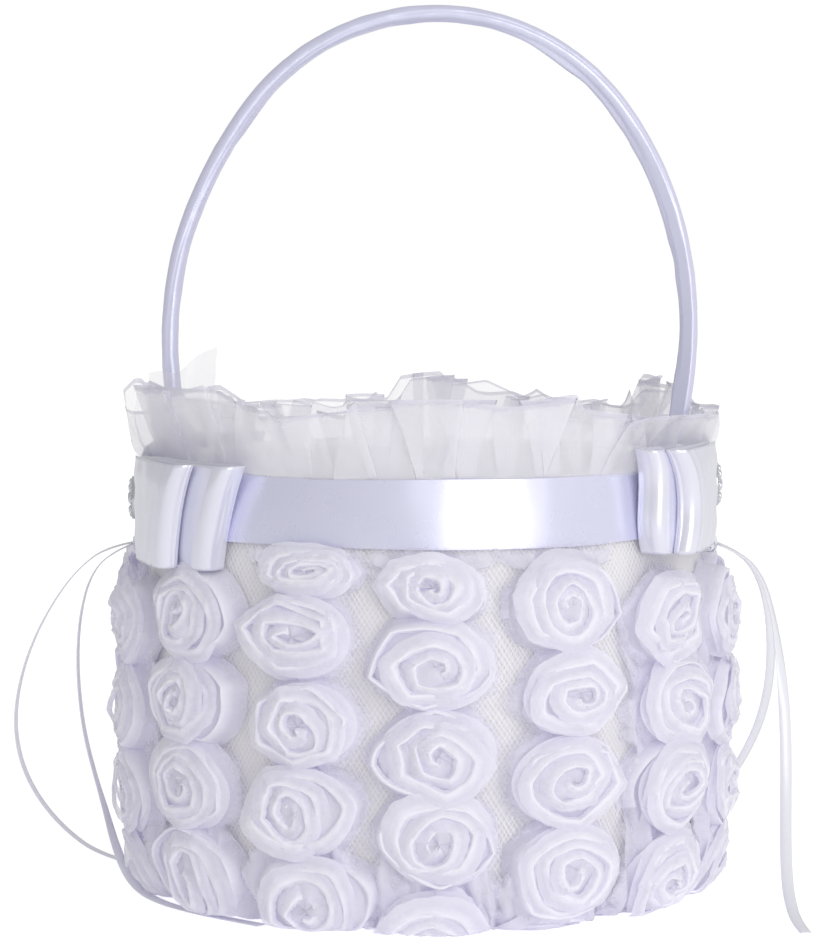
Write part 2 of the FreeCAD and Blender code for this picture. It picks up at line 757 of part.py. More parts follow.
def build_tails():
    radius = dim("tail_width").value / 2
    knot_face = bow_seat() + dim("tail_knot_depth").value
    for node, route in TAIL_ROUTES.items():
        side = math.copysign(1, route[0][0])
        start = Vector(side * knot_face, math.copysign(TAIL_SPACING, route[0][1]), TAIL_HEIGHT)
        points = [start] + [Vector(*p) for p in route]
        path, tightest = rounded_route(points)
        circle = Part.Circle(points[0], points[1] - points[0], radius)
        tube = path.makePipeShell([Part.Wire(circle.toShape())], True, False)
        share = tube.Volume / (math.pi * radius**2 * path.Length)
        print(
            "%s: %.1f mm long, tightest radius %.1f mm, volume over section times length %.4f"
            % (node, path.Length, tightest, share)
        )
        feature = doc.addObject("Part::Feature", node)
        feature.Shape = tube
        keep(node, feature)


# ---------------------------------------------------------------- rosettes


def on_profile(length):
    """(radius, height, outward slope in radians below level) on the net, length up from the flat."""
    reach = dim("corner_radius").value + NET_OUT.value
    bend = reach * (math.pi / 2 + JOIN_ANGLE)
    if length < bend:
        angle = -math.pi / 2 + length / reach
        x = CORNER_X.value + reach * math.cos(angle)
        return x, CORNER_Z.value + reach * math.sin(angle), -angle
    reach = SIDE_RADIUS.value + NET_OUT.value
    angle = JOIN_ANGLE + (length - bend) / reach
    x = SIDE_X.value + reach * math.cos(angle)
    return x, SIDE_Z.value + reach * math.sin(angle), -angle


def length_at(height):
    """The length along the profile at which it reaches that height on the side."""
    low, high = 0.0, 200.0
    for _ in range(40):
        middle = (low + high) / 2
        low, high = (middle, high) if on_profile(middle)[1] < height else (low, middle)
    return low


def lowest_point(length, half_height, depth):
    _, height, slope = on_profile(length)
    return height - math.hypot(half_height * math.cos(slope), depth * math.sin(slope))


def column_lengths(start, ceiling_height):
    """(place along the profile, half height) of each rosette in a column, highest first."""
    pitch, half = dim("rosette_pitch").value, dim("rosette_half_height").value
    depth, floor_gap = dim("rosette_depth").value, dim("rosette_floor_gap").value
    ceiling = length_at(ceiling_height)
    first = length_at(start)
    made = []
    spare = (ceiling - (first + half)) / 2 - 0.1
    if spare > LEAST_SQUASHED:
        made.append((first + half + 0.2 + spare, spare))
    at = first
    while lowest_point(at, half, depth) > floor_gap:
        made.append((at, half))
        at -= pitch
    top_edge = made[-1][0] - made[-1][1] - 0.3
    for step in range(60):
        squashed = half - step * 0.1
        at = top_edge - squashed
        if squashed > LEAST_SQUASHED and at > 0:
            shrunk = depth * squashed / half
            if lowest_point(at, squashed, shrunk) > floor_gap:
                made.append((at, squashed))
                break
    return made


def build_rosettes():
    """Columns of domes that stand on the net, each on the surface's own normal."""
    bow_bottom = dim("bow_height").value - dim("ribbon_width").value / 2
    for column in range(COLUMNS):
        ceiling = (bow_bottom if column in UNDER_BOWS else dim("band_bottom").value) - 0.6
        turn = FIRST_COLUMN_ANGLE + column * 360.0 / COLUMNS - 90.0
        domes = []
        for row, (at, half) in enumerate(column_lengths(COLUMN_STARTS[column], ceiling)):
            radius, height, slope = on_profile(at)
            squash = half / dim("rosette_half_height").value
            dome = doc.addObject("Part::Ellipsoid", "rosette_%02d_%d" % (column + 1, row + 1))
            dome.Angle1 = 0.0
            dome.setExpression("Radius1", (dim("rosette_depth") * (0.3 + 0.7 * squash)).formula)
            dome.setExpression("Radius2", (dim("rosette_half_height") * squash).formula)
            dome.setExpression("Radius3", dim("rosette_half_width").formula)
            tilt = Rotation(Vector(0, 1, 0), 90.0 + math.degrees(slope))
            spin = Rotation(Vector(0, 0, 1), turn)
            lift = 0.05
            at_point = Vector(radius + lift * math.cos(slope), 0, height - lift * math.sin(slope))
            dome.Placement = Placement(spin.multVec(at_point), spin.multiply(tilt))
            domes.append(dome)
        group = doc.addObject("Part::Compound", "rosette_column_%02d" % (column + 1))
        group.Links = domes
        keep("rosette_column_%02d" % (column + 1), group)


# ---------------------------------------------------------------- build, check and write

build_bowl()
build_lining()
build_rim()
build_handle()
build_loops()
build_knots()
build_tails()
build_rosettes()
doc.recompute()

failed = [o.Name for o in doc.Objects if {"Invalid", "Error"} & set(o.State)]
if failed:
    raise SystemExit("failed objects: %s" % failed)
for node, feature in subparts.items():
    shape = feature.Shape
    if shape.isNull() or not shape.isValid() or not shape.Solids:
        raise SystemExit("%s has no valid solid" % node)

os.makedirs("parts", exist_ok=True)
for old in os.listdir("parts"):
    os.remove(os.path.join("parts", old))
for node, feature in subparts.items():
    feature.Shape.exportStep(os.path.join("parts", node + ".step"))
print("%d sub-parts written" % len(subparts))
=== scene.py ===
from math import asin, atan2, cos, pi, radians, sin, sqrt, tan

import bpy
import numpy as np
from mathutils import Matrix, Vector
from numpy.random import default_rng


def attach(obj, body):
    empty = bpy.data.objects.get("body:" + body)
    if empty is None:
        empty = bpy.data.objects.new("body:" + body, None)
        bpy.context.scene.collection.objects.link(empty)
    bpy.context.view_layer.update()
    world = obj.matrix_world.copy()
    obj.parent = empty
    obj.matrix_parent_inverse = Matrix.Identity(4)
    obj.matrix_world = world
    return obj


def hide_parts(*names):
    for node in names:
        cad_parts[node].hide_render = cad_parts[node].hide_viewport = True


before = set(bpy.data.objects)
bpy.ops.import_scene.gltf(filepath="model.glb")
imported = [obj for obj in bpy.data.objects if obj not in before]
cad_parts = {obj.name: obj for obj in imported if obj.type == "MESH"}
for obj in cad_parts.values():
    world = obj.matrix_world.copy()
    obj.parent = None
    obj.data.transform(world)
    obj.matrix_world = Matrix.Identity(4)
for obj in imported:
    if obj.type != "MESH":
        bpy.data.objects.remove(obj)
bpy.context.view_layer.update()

# All lengths below are millimetres unless a name says otherwise.  Angles round the basket start
# at the front (-Y) and grow towards +X.
MM = 0.001
TAU = 2 * pi

RIM_HEIGHT, RIM_RADIUS = 109.0, 66.2
BELLY_HEIGHT, BELLY_RADIUS = 52.0, 70.0
BOWL_BOTTOM, CORNER_RADIUS = 2.6, 16.0
BOWL_WALL, LINING_WALL = 1.8, 0.5
COVER_OUT, NET_OUT, BAND_OUT = 0.4, 0.8, 1.7
BAND_BOTTOM, NET_TOP = 93.0, 99.5
BOW_HEIGHT, RIBBON_WIDTH = 99.5, 25.4
BOW_SEAT = 69.9


# ---- shared helpers


def grid_faces(rows, columns, wrap=False):
    """Quads over a grid of points stored row by row; wrap joins the last column to the first."""
    last = columns if wrap else columns - 1
    row, column = np.meshgrid(np.arange(rows - 1), np.arange(last), indexing="ij")
    here, beside = row * columns + column, row * columns + (column + 1) % columns
    return together(here, beside, beside + columns, here + columns).reshape(-1, 4)


def together(*parts):
    """Arrays joined along a new last axis, such as x, y and z to points."""
    return np.stack(np.broadcast_arrays(*parts), axis=-1)


def whole_turn(count):
    """That many angles evenly round a circle."""
    return np.linspace(0, TAU, count, endpoint=False)


def turn_from(start, angle):
    """The turn from one angle to another, between minus and plus half a turn."""
    return (angle - start + pi) % TAU - pi


def turned(x, y, angle):
    return x * cos(angle) - y * sin(angle), x * sin(angle) + y * cos(angle)


def bell(x, half_width):
    return np.exp(-((x / half_width) ** 2))


def ease(x, low, high):
    t = np.clip((x - low) / (high - low), 0, 1)
    return t * t * (3 - 2 * t)


def run_along(line):
    """Length from the start of a line to each of its points."""
    return np.concatenate([[0], np.cumsum(np.linalg.norm(np.diff(line, axis=0), axis=1))])


def headings(line):
    """Unit vectors along a line at each of its points."""
    step = np.gradient(line, axis=0)
    return step / np.linalg.norm(step, axis=1)[:, None]


def on_ring(radius, angle, height):
    """Points at those radii, angles from the front and heights."""
    return together(radius * np.sin(angle), -radius * np.cos(angle), height)


def wander(x, seed, wavelength, octaves=3):
    """A smooth random curve over x of about unit size; wavelength is its longest wave."""
    pick = default_rng(seed)
    total = 0.0
    for octave in range(octaves):
        for _ in range(3):
            length = wavelength / 2**octave * pick.uniform(0.7, 1.4)
            total += np.sin(TAU * x / length + pick.uniform(0, TAU)) * 0.6 / 2**octave
    return total


def ring_wander(angle, seed, low, high):
    """As wander, for angles round the basket, so that it closes on itself."""
    pick = default_rng(seed)
    total = 0.0
    for count in range(low, high + 1):
        total += pick.normal() * np.sin(count * angle + pick.uniform(0, TAU))
    return total / sqrt((high - low + 1) / 2)


class Patches:
    """Grids of points, or points with their own faces, that are gathered into one mesh.

    flat holds each point's place on the uncut cloth, which the weave follows."""

    def __init__(self, *first, **options):
        self.parts, self.count = [], 0
        if first:
            self.add(*first, **options)

    def add(self, points, flat=(0, 0), wrap=False, kind=0, faces=None):
        """Adds a grid of points; wrap closes its rows, and kind is its faces' material."""
        if faces is None:
            faces = grid_faces(*points.shape[:2], wrap)
        flat = np.broadcast_to(flat, (*points.shape[:-1], 2)).reshape(-1, 2)
        points = points.reshape(-1, 3)
        self.parts.append((points, flat, faces + self.count, np.broadcast_to(kind, len(faces))))
        self.count += len(points)

    def joined(self):
        """All points, their places on the cloth, the faces and the faces' materials."""
        return [np.concatenate(parts) for parts in zip(*self.parts)]


def piece(name, slot, node, patches, woven=True, wall=None):
    """A smooth mesh object that rides on the basket and stands for the named CAD node.

    wall is the thickness of a single layer of cloth."""
    mesh = bpy.data.meshes.new(name)
    points, flat, faces, kinds = patches.joined()
    mesh.from_pydata((points * MM).tolist(), [], faces.tolist())
    if woven:
        layer = mesh.uv_layers.new(name="cloth")
        layer.data.foreach_set("uv", (flat * MM)[faces.ravel()].ravel())
    for material in FINISHES[slot]:
        mesh.materials.append(material)
    mesh.polygons.foreach_set("material_index", kinds.astype(np.int32))
    mesh.polygons.foreach_set("use_smooth", np.ones(len(faces), bool))
    mesh.update()
    obj = bpy.data.objects.new(name, mesh)
    bpy.context.scene.collection.objects.link(obj)
    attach(obj, "root")
    if node:
        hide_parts(node)
    if wall:
        shell = obj.modifiers.new("wall", "SOLIDIFY")
        shell.thickness = wall * MM
        shell.offset = 0
    return obj


# ---- bowl surface

_rise, _taper = RIM_HEIGHT - BELLY_HEIGHT, BELLY_RADIUS - RIM_RADIUS
SIDE_RADIUS = (_rise**2 + _taper**2) / (2 * _taper)
SIDE_X = BELLY_RADIUS - SIDE_RADIUS
CORNER_Z = BOWL_BOTTOM + CORNER_RADIUS
CORNER_X = SIDE_X + sqrt((SIDE_RADIUS - CORNER_RADIUS) ** 2 - (BELLY_HEIGHT - CORNER_Z) ** 2)
JOIN_ANGLE = atan2(CORNER_Z - BELLY_HEIGHT, CORNER_X - SIDE_X)
CORNER_REACH = CORNER_RADIUS + NET_OUT
CORNER_LENGTH = CORNER_REACH * (pi / 2 + JOIN_ANGLE)
SIDE_REACH = SIDE_RADIUS + NET_OUT


def skin(length, offset):
    """Radius and height at that length up the net from its flat bottom, offset outwards from it."""
    bend = length < CORNER_LENGTH
    corner_angle = -pi / 2 + np.maximum(length, 0) / CORNER_REACH
    side_angle = JOIN_ANGLE + (length - CORNER_LENGTH) / SIDE_REACH
    angle = np.where(bend, corner_angle, side_angle)
    centre_x = np.where(bend, CORNER_X, SIDE_X)
    centre_z = np.where(bend, CORNER_Z, BELLY_HEIGHT)
    reach = np.where(bend, CORNER_REACH, SIDE_REACH) + offset
    radius = centre_x + reach * np.cos(angle) + np.minimum(length, 0)
    return radius, centre_z + reach * np.sin(angle)


def length_at(height):
    """The length up the net at which it reaches that height on the side."""
    angle = asin((height - BELLY_HEIGHT) / SIDE_REACH)
    return CORNER_LENGTH + SIDE_REACH * (angle - JOIN_ANGLE)


def side_radius(height, offset):
    """Radius of the side at that height, offset outwards from the bowl's own outer face."""
    return SIDE_X + np.sqrt((SIDE_RADIUS + offset) ** 2 - (height - BELLY_HEIGHT) ** 2)


# ---- materials


class Nodes:
    """A node tree, with short ways to add and join nodes."""

    def __init__(self, tree):
        self.tree = tree

    def put(self, socket, value):
        if isinstance(value, bpy.types.NodeSocket):
            self.tree.links.new(value, socket)
        else:
            socket.default_value = value

    def fill(self, node, **sockets):
        """Sets sockets to values, or joins them to other nodes' outputs."""
        for socket, value in sockets.items():
            self.put(node.inputs[socket.replace("_", " ")], value)

    def add(self, kind, **sockets):
        node = self.tree.nodes.new("ShaderNode" + kind)
        self.fill(node, **sockets)
        return node

    def math(self, operation, *values):
        node = self.add("Math")
        node.operation = operation
        for socket, value in zip(node.inputs, values):
            self.put(socket, value)
        return node.outputs[0]


class Look(Nodes):
    """A material, with the textures that its cloth or metal takes."""

    def __init__(self, name, color, roughness, metallic=0.0, sheen=0.0, alpha=1.0):
        self.material = bpy.data.materials.new(name)
        self.material.use_nodes = True
        super().__init__(self.material.node_tree)
        self.shader = self.tree.nodes["Principled BSDF"]
        self.color = color
        self.fill(self.shader, Roughness=roughness, Metallic=metallic, Alpha=alpha)
        self.fill(self.shader, Sheen_Weight=sheen, Sheen_Roughness=0.4)
        self.place = self.add("TexCoord").outputs["Object"]

    def noise(self, per_metre, detail=3.0, where=None):
        where = where or self.place
        return self.add("TexNoise", Vector=where, Scale=per_metre, Detail=detail).outputs["Fac"]

    def blend(self, share, first, second):
        """A colour between the first, at share 0, and the second, at share 1."""
        node = self.add("Mix")
        node.data_type = "RGBA"
        for index, value in ((0, share), (6, first), (7, second)):
            self.put(node.inputs[index], value)
        return node.outputs[2]

    def mottle(self, depth, per_metre, times=None):
        """Colour that drifts between the base colour and one that is darker by depth."""
        drift = self.noise(per_metre, 4.0)
        if times:
            drift = self.math("MULTIPLY", times, drift)
        dark = [c * (1 - depth) for c in self.color]
        color = self.blend(drift, (*dark, 1), (*self.color, 1))
        self.fill(self.shader, Base_Color=color)
        return color

    def glow(self, color, strength):
        """Light of its own. On thin cloth this is a painted glow that stands in for light passing through
        it from behind.
        """
        self.fill(self.shader, Emission_Color=(*color, 1), Emission_Strength=strength)

    def threads(self, direction):
        """Parallel threads across X or Y of the cloth."""
        per_metre = 1 / (THREAD_SPACING * MM) / 20 * TAU / 2
        wave = self.add("TexWave", Vector=self.cloth(), Scale=per_metre, Distortion=0.6, Detail_Scale=1.5)
        wave.bands_direction = direction
        return wave.outputs["Fac"]

    def cloth(self):
        """The place on the uncut cloth."""
        node = self.add("UVMap")
        node.uv_map = "cloth"
        return node.outputs[0]

    def bump(self, height, depth, under=None):
        """Adds a bump of that depth in millimetres on top of the bump under it."""
        node = self.add("Bump", Height=height, Strength=1.0, Distance=depth * MM)
        if under:
            self.fill(node, Normal=under)
        self.fill(self.shader, Normal=node.outputs["Normal"])
        return node.outputs["Normal"]


CHIFFON_COLOR = (0.885, 0.87, 0.965)
# Painted highlight: the whiter colour that the chiffon takes along its folds.
CHIFFON_FOLD_HIGHLIGHT_COLOR = (0.95, 0.94, 1.0)
CHIFFON_SOLID = 0.7
FRAYED_REACH = 2.5  # how far in from its edge frayed cloth thins out
THREAD_SPACING = 0.35


def satin(name, color, roughness, metallic):
    """Glossy ribbon: long faint streaks along it, soft wrinkles and a silky mirror."""
    look = Look(name + "_satin", color, roughness, metallic=metallic, sheen=0.15)
    look.mottle(0.05, 60.0)
    along = look.add("Mapping", Vector=look.cloth(), Scale=(30.0, 900.0, 1.0))
    streaks = look.noise(1.0, 2.0, along.outputs[0])
    under = look.bump(look.noise(160.0, 1.0), 0.03)
    look.bump(streaks, 0.004, under)
    uneven = look.math("MULTIPLY_ADD", look.noise(90.0), 0.14, roughness - 0.07)
    look.fill(look.shader, Roughness=uneven)
    return look.material


def chiffon(name, frayed=False):
    """Matt crinkled chiffon, denser along its folds than between them, with a painted highlight that
    whitens its colour along the folds.

    Frayed cloth thins out in threads towards its edge."""
    look = Look(name, CHIFFON_COLOR, 0.85, sheen=0.35)
    look.fill(look.shader, Specular_IOR_Level=0.12)
    # Painted glow: a faint lavender emission that stands in for light through the thin chiffon and
    # lightens its shade.
    look.glow((0.92, 0.90, 1.0), 0.045)
    between_folds = look.mottle(0.05, 110.0)
    crinkle = look.bump(look.noise(480.0, 6.0), 0.34)
    look.bump(look.noise(2600.0, 2.0), 0.05, crinkle)
    from_fold = look.add("SeparateXYZ", Vector=look.cloth()).outputs["Y"]
    ramp = look.add("MapRange", Value=from_fold, From_Max=0.7 * MM, To_Min=0.75, To_Max=0.0)
    at_fold = ramp.outputs["Result"]
    # Painted highlight: the colour whitens towards each fold.
    color = look.blend(at_fold, between_folds, (*CHIFFON_FOLD_HIGHLIGHT_COLOR, 1))
    if frayed:
        threads = look.math("MULTIPLY_ADD", look.noise(420.0, 3.0), 0.9, -0.55)
        inward = look.math("MULTIPLY_ADD", from_fold, 1 / (FRAYED_REACH * MM), threads)
        solid = look.math("MULTIPLY", look.add("Clamp", Value=inward).outputs[0], CHIFFON_SOLID)
    else:
        solid = look.math("MULTIPLY_ADD", at_fold, 1 - CHIFFON_SOLID, CHIFFON_SOLID)
    look.fill(look.shader, Base_Color=color, Alpha=solid)
    return look.material


def organza(name, color, alpha):
    """Crisp sheer weave with a thread every third of a millimetre both ways."""
    look = Look(name, color, 0.5, sheen=0.2, alpha=alpha)
    # Painted glow: a faint lavender emission that stands in for light through the sheer organza and
    # lightens its shade.
    look.glow((0.93, 0.92, 1.0), 0.015)
    weave = look.math("MAXIMUM", look.threads("X"), look.threads("Y"))
    look.mottle(0.05, 80.0, weave)
    look.bump(weave, 0.012)
    return look.material


def hard(name, color, roughness, metallic=0.0, grain=600.0):
    """Board, plastic, metal or stone, with a faint grain."""
    look = Look(name, color, roughness, metallic=metallic)
    look.mottle(0.12, 200.0)
    look.bump(look.noise(grain), 0.02)
    return look.material


NET = Look("net_thread", (1.0, 0.995, 0.985), 0.8, sheen=0.2)
NET.mottle(0.04, 140.0)
NET.bump(NET.noise(1800.0, 2.0), 0.05)
LINING = satin("lining", (0.97, 0.965, 1.0), 0.34, 0.05)
BOARD = hard("board", (0.80, 0.79, 0.76), 0.8)
PLASTIC = hard("cap_plastic", (0.85, 0.85, 0.86), 0.45)

# The materials of each slot: colour, roughness, and mirror or see-through share.
FINISHES = {
    "band_satin": [satin("band", (0.82, 0.825, 1.0), 0.28, 0.45)],
    "bow_satin": [satin("bow", (0.885, 0.885, 1.0), 0.2, 0.38)],
    "sleeve_satin": [satin("sleeve", (0.77, 0.775, 0.96), 0.3, 0.35)],
    "cover_satin": [satin("cover", (0.94, 0.93, 0.95), 0.5, 0.0)],
    "narrow_ribbon": [satin("tail", (0.94, 0.94, 1.0), 0.32, 0.12)],
    "lining_satin": [LINING],
    "padding": [LINING],
    "chiffon": [chiffon("chiffon"), chiffon("sheer_chiffon", frayed=True)],
    "organza": [
        organza("organza", (0.965, 0.955, 1.0), 0.37),
        organza("organza_hem", (0.79, 0.78, 0.87), 0.72),
    ],
    "net": [NET.material],
    "wire": [hard("wire_steel", (0.62, 0.62, 0.64), 0.3, 1.0)],
    "setting": [hard("setting_metal", (0.70, 0.70, 0.73), 0.16, 1.0, 2500.0)],
    "stone": [hard("foil_backed_stone", (0.78, 0.80, 0.86), 0.05, 0.85, 300.0)],
}
CAD_FINISHES = {
    "bowl_shell": BOARD,
    "base_board": BOARD,
    "handle_end_cap_left": PLASTIC,
    "handle_end_cap_right": PLASTIC,
}
for cad_node, finish in CAD_FINISHES.items():
    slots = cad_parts[cad_node].data.materials
    slots.clear()
    slots.append(finish)


# ---- cover, net and lining


def build_cover():
    """Satin skin under the net: loose vertical wrinkles, reaching up to the rim and tucked under the
    base.
    """
    angle, length = np.meshgrid(whole_turn(360), np.linspace(-14.0, length_at(RIM_HEIGHT), 76))
    wrinkle = 0.10 * ring_wander(angle, 11, 18, 60) * ease(length, 5, 40)
    radius, height = skin(length, COVER_OUT - NET_OUT - 0.12 + wrinkle.clip(-0.12, 0.28))
    cover = Patches(on_ring(radius, angle, height), together(angle * BELLY_RADIUS, length), True)
    piece("satin_cover_cloth", "cover_satin", "satin_cover", cover)


def build_net():
    """Diamond net: two crossing families of fine threads that lie just over the cover."""
    threads, steps = 340, 74
    lean, half_thread = radians(33.0), 0.17
    pick = default_rng(5)
    length = np.linspace(-12.0, length_at(NET_TOP), steps)
    radius, _ = skin(length, 0)
    middle_radius = (radius[1:] + radius[:-1]) / 2
    swing = np.concatenate([[0], np.cumsum(np.diff(length) / middle_radius)]) * tan(lean)
    half = half_thread / radius
    net = Patches()
    for family, side in enumerate((1, -1)):
        for index in range(threads):
            start = TAU * (index + pick.uniform(-0.16, 0.16)) / threads
            middle = start + side * swing + 0.004 * np.sin(length / 9.0 + start * 3)
            lift = 0.02 + 0.12 * family + 0.05 * np.sin(length * 2.1 + index)
            r, z = skin(length, lift)
            net.add(np.stack([on_ring(r, middle - half, z), on_ring(r, middle + half, z)]))
    piece("diamond_net", "net", "net_overlay", net)


LEG_OFFSET, LEG_BOTTOM, CHANNEL_RADIUS = 60.8, 74.0, 2.95

# The lip of the lining over the rim: outwards from the bowl's face, up from the rim, cloth length.
LIP = ((-2.05, 0.5, 1.2), (-1.2, 0.66, 2.2), (-0.2, 0.66, 3.4), (0.42, 0.45, 4.4), (0.5, -0.2, 5.2))


def build_lining():
    """Gathered satin inside, with a lip over the rim and a channel round each handle leg."""
    angle = whole_turn(480)
    wall = -NET_OUT - BOWL_WALL - LINING_WALL - 0.02
    length = np.linspace(0, length_at(RIM_HEIGHT - 0.1), 60)
    a, s = np.meshgrid(angle, length)
    folds = np.abs(ring_wander(a + 0.05 * np.sin(s / 9), 21, 26, 64)).clip(0, 2.2)
    radius, height = skin(s, wall - (0.10 + 0.40 * ease(s, 30, 95)) * folds)
    rows, lay = [on_ring(radius, a, height)], [s]
    ripple = 0.05 * ring_wander(angle, 22, 30, 70)
    for outward, upward, extra in LIP:
        lip_radius = side_radius(RIM_HEIGHT, outward)
        rows.append(on_ring(lip_radius, angle, RIM_HEIGHT + upward + ripple)[None])
        lay.append(np.full((1, len(angle)), length[-1] + extra))
    flat = together(angle * BELLY_RADIUS, np.concatenate(lay))
    lining = Patches(np.concatenate(rows), flat, True)

    a, r = np.meshgrid(angle[::4], np.linspace(0.05, CORNER_X, 14))
    floor = BOWL_BOTTOM + BOWL_WALL + LINING_WALL + 0.05
    lining.add(on_ring(r, a, floor), together(a * r, r), True)

    for side in (-1, 1):
        turn = np.linspace(-0.62 * pi, 0.62 * pi, 26)
        t, z = np.meshgrid(turn, np.linspace(LEG_BOTTOM, RIM_HEIGHT + 0.55, 26))
        reach = CHANNEL_RADIUS + 0.12 * np.sin(z * 0.9) + 0.1 * np.sin(t * 5 + z * 0.3)
        bowl_face = side_radius(z.clip(None, RIM_HEIGHT), -2.2)
        x = np.clip(side * (LEG_OFFSET - reach * np.cos(t)), -bowl_face, bowl_face)
        lining.add(together(x, reach * np.sin(t), z), together(t * 3, z))
    piece("satin_lining_cloth", "lining_satin", "satin_lining", lining)


def build_floor_pad():
    """Thin quilted pad on the inside bottom: crowned, with a rolled edge and radial puckers."""
    radius, height = 49.0, 3.0
    base = BOWL_BOTTOM + BOWL_WALL + LINING_WALL + 0.05
    angle = whole_turn(200)
    share = np.concatenate([np.linspace(0.001, 0.9, 22), np.linspace(0.92, 1.0, 8)])
    a, f = np.meshgrid(angle, share)
    crown = height * np.sqrt(np.clip(1 - f**7, 0, 1))
    pucker = 0.28 * np.sin(a * 36 + np.sin(a * 5)) * ease(f, 0.55, 0.97)
    quilt = 0.35 * np.cos(f * 9.0) * np.cos(a * 3)
    top = base + crown * (0.93 + 0.02 * pucker) + (pucker * 0.5 + quilt * (1 - f)).clip(-0.5, 0.2)
    rim = radius * f * (1 + 0.004 * ring_wander(a, 31, 6, 30) * f)
    rows = [on_ring(rim, a, np.maximum(top, base))]
    rows += [on_ring(under, angle, base)[None] for under in (radius * 0.96, 0.05)]
    points = np.concatenate(rows)
    cloth = Patches(points, points[..., :2], True)
    pad = piece("floor_pad_cloth", "padding", "floor_pad", cloth)


# ---- rosettes

COLUMNS = 14
FIRST_COLUMN_ANGLE = radians(1.5)
COLUMN_STARTS = (66.2, 79.5, 74.5, 71.0, 73.8, 70.0, 76.5, 68.0, 81.0, 72.5, 74.0, 69.5, 75.4, 72.3)
UNDER_BOWS = (2, 3, 4, 5, 9, 10, 11, 12)
LOOSE_COLUMNS = (2, 3, 4, 5, 9, 10, 11)
COLUMN_DRIFT = {12: 1.2, 13: 2.0}
LEAST_SQUASHED = 3.6
ROSETTE_PITCH, ROSETTE_HALF = 20.6, 9.9
BLOOM_HALF_WIDTH, BLOOM_HALF_HEIGHT, BLOOM_DEPTH = 15.4, 12.2, 9.4
WIDE_SKIRT = 1.16  # of the lowest rosette in each column
TURN_CLOTH = 45.0  # cloth in one turn of a rosette
FOLD_OVER = 1.5  # how far a heart lies under the folds round it
SOFT_FLOOR = 2.2  # below this height petals bend away from the floor


def column_places(column):
    """(length up the net, half height) of each rosette of a column, highest first."""
    ceiling = BOW_HEIGHT - RIBBON_WIDTH / 2 if column in UNDER_BOWS else BAND_BOTTOM
    first = length_at(COLUMN_STARTS[column])
    spare = (length_at(ceiling - 0.6) - (first + ROSETTE_HALF)) / 2 - 0.1
    places = []
    if spare > LEAST_SQUASHED:
        places.append((first + ROSETTE_HALF + 0.2 + spare, spare))
    at = first
    while at > 9.0:
        places.append((at, ROSETTE_HALF))
        at -= ROSETTE_PITCH
    room = places[-1][0] - places[-1][1] - 0.3
    if room > LEAST_SQUASHED:
        places.append((room / 2, max(room / 2, LEAST_SQUASHED)))
    return places


# Section of a rosette's folded strip, from its inner foot over the fold to its outer foot: outward
# step, drop below the fold, and drop of the outermost turn as a share of the rosette's depth.
STRIP_OUT = np.array([-0.62, -0.44, -0.30, -0.19, -0.10, 0.0, 0.12, 0.34, 0.66, 1.05, 1.5, 2.0])
STRIP_DROP = np.array([1.5, 0.9, 0.42, 0.13, 0.02, 0.0, 0.06, 0.20, 0.42, 0.74, 1.15, 1.7])
STRIP_WALL = np.array([0.0, 0.0, 0.0, 0.0, 0.0, 0.0, 0.02, 0.09, 0.26, 0.52, 0.80, 1.0])


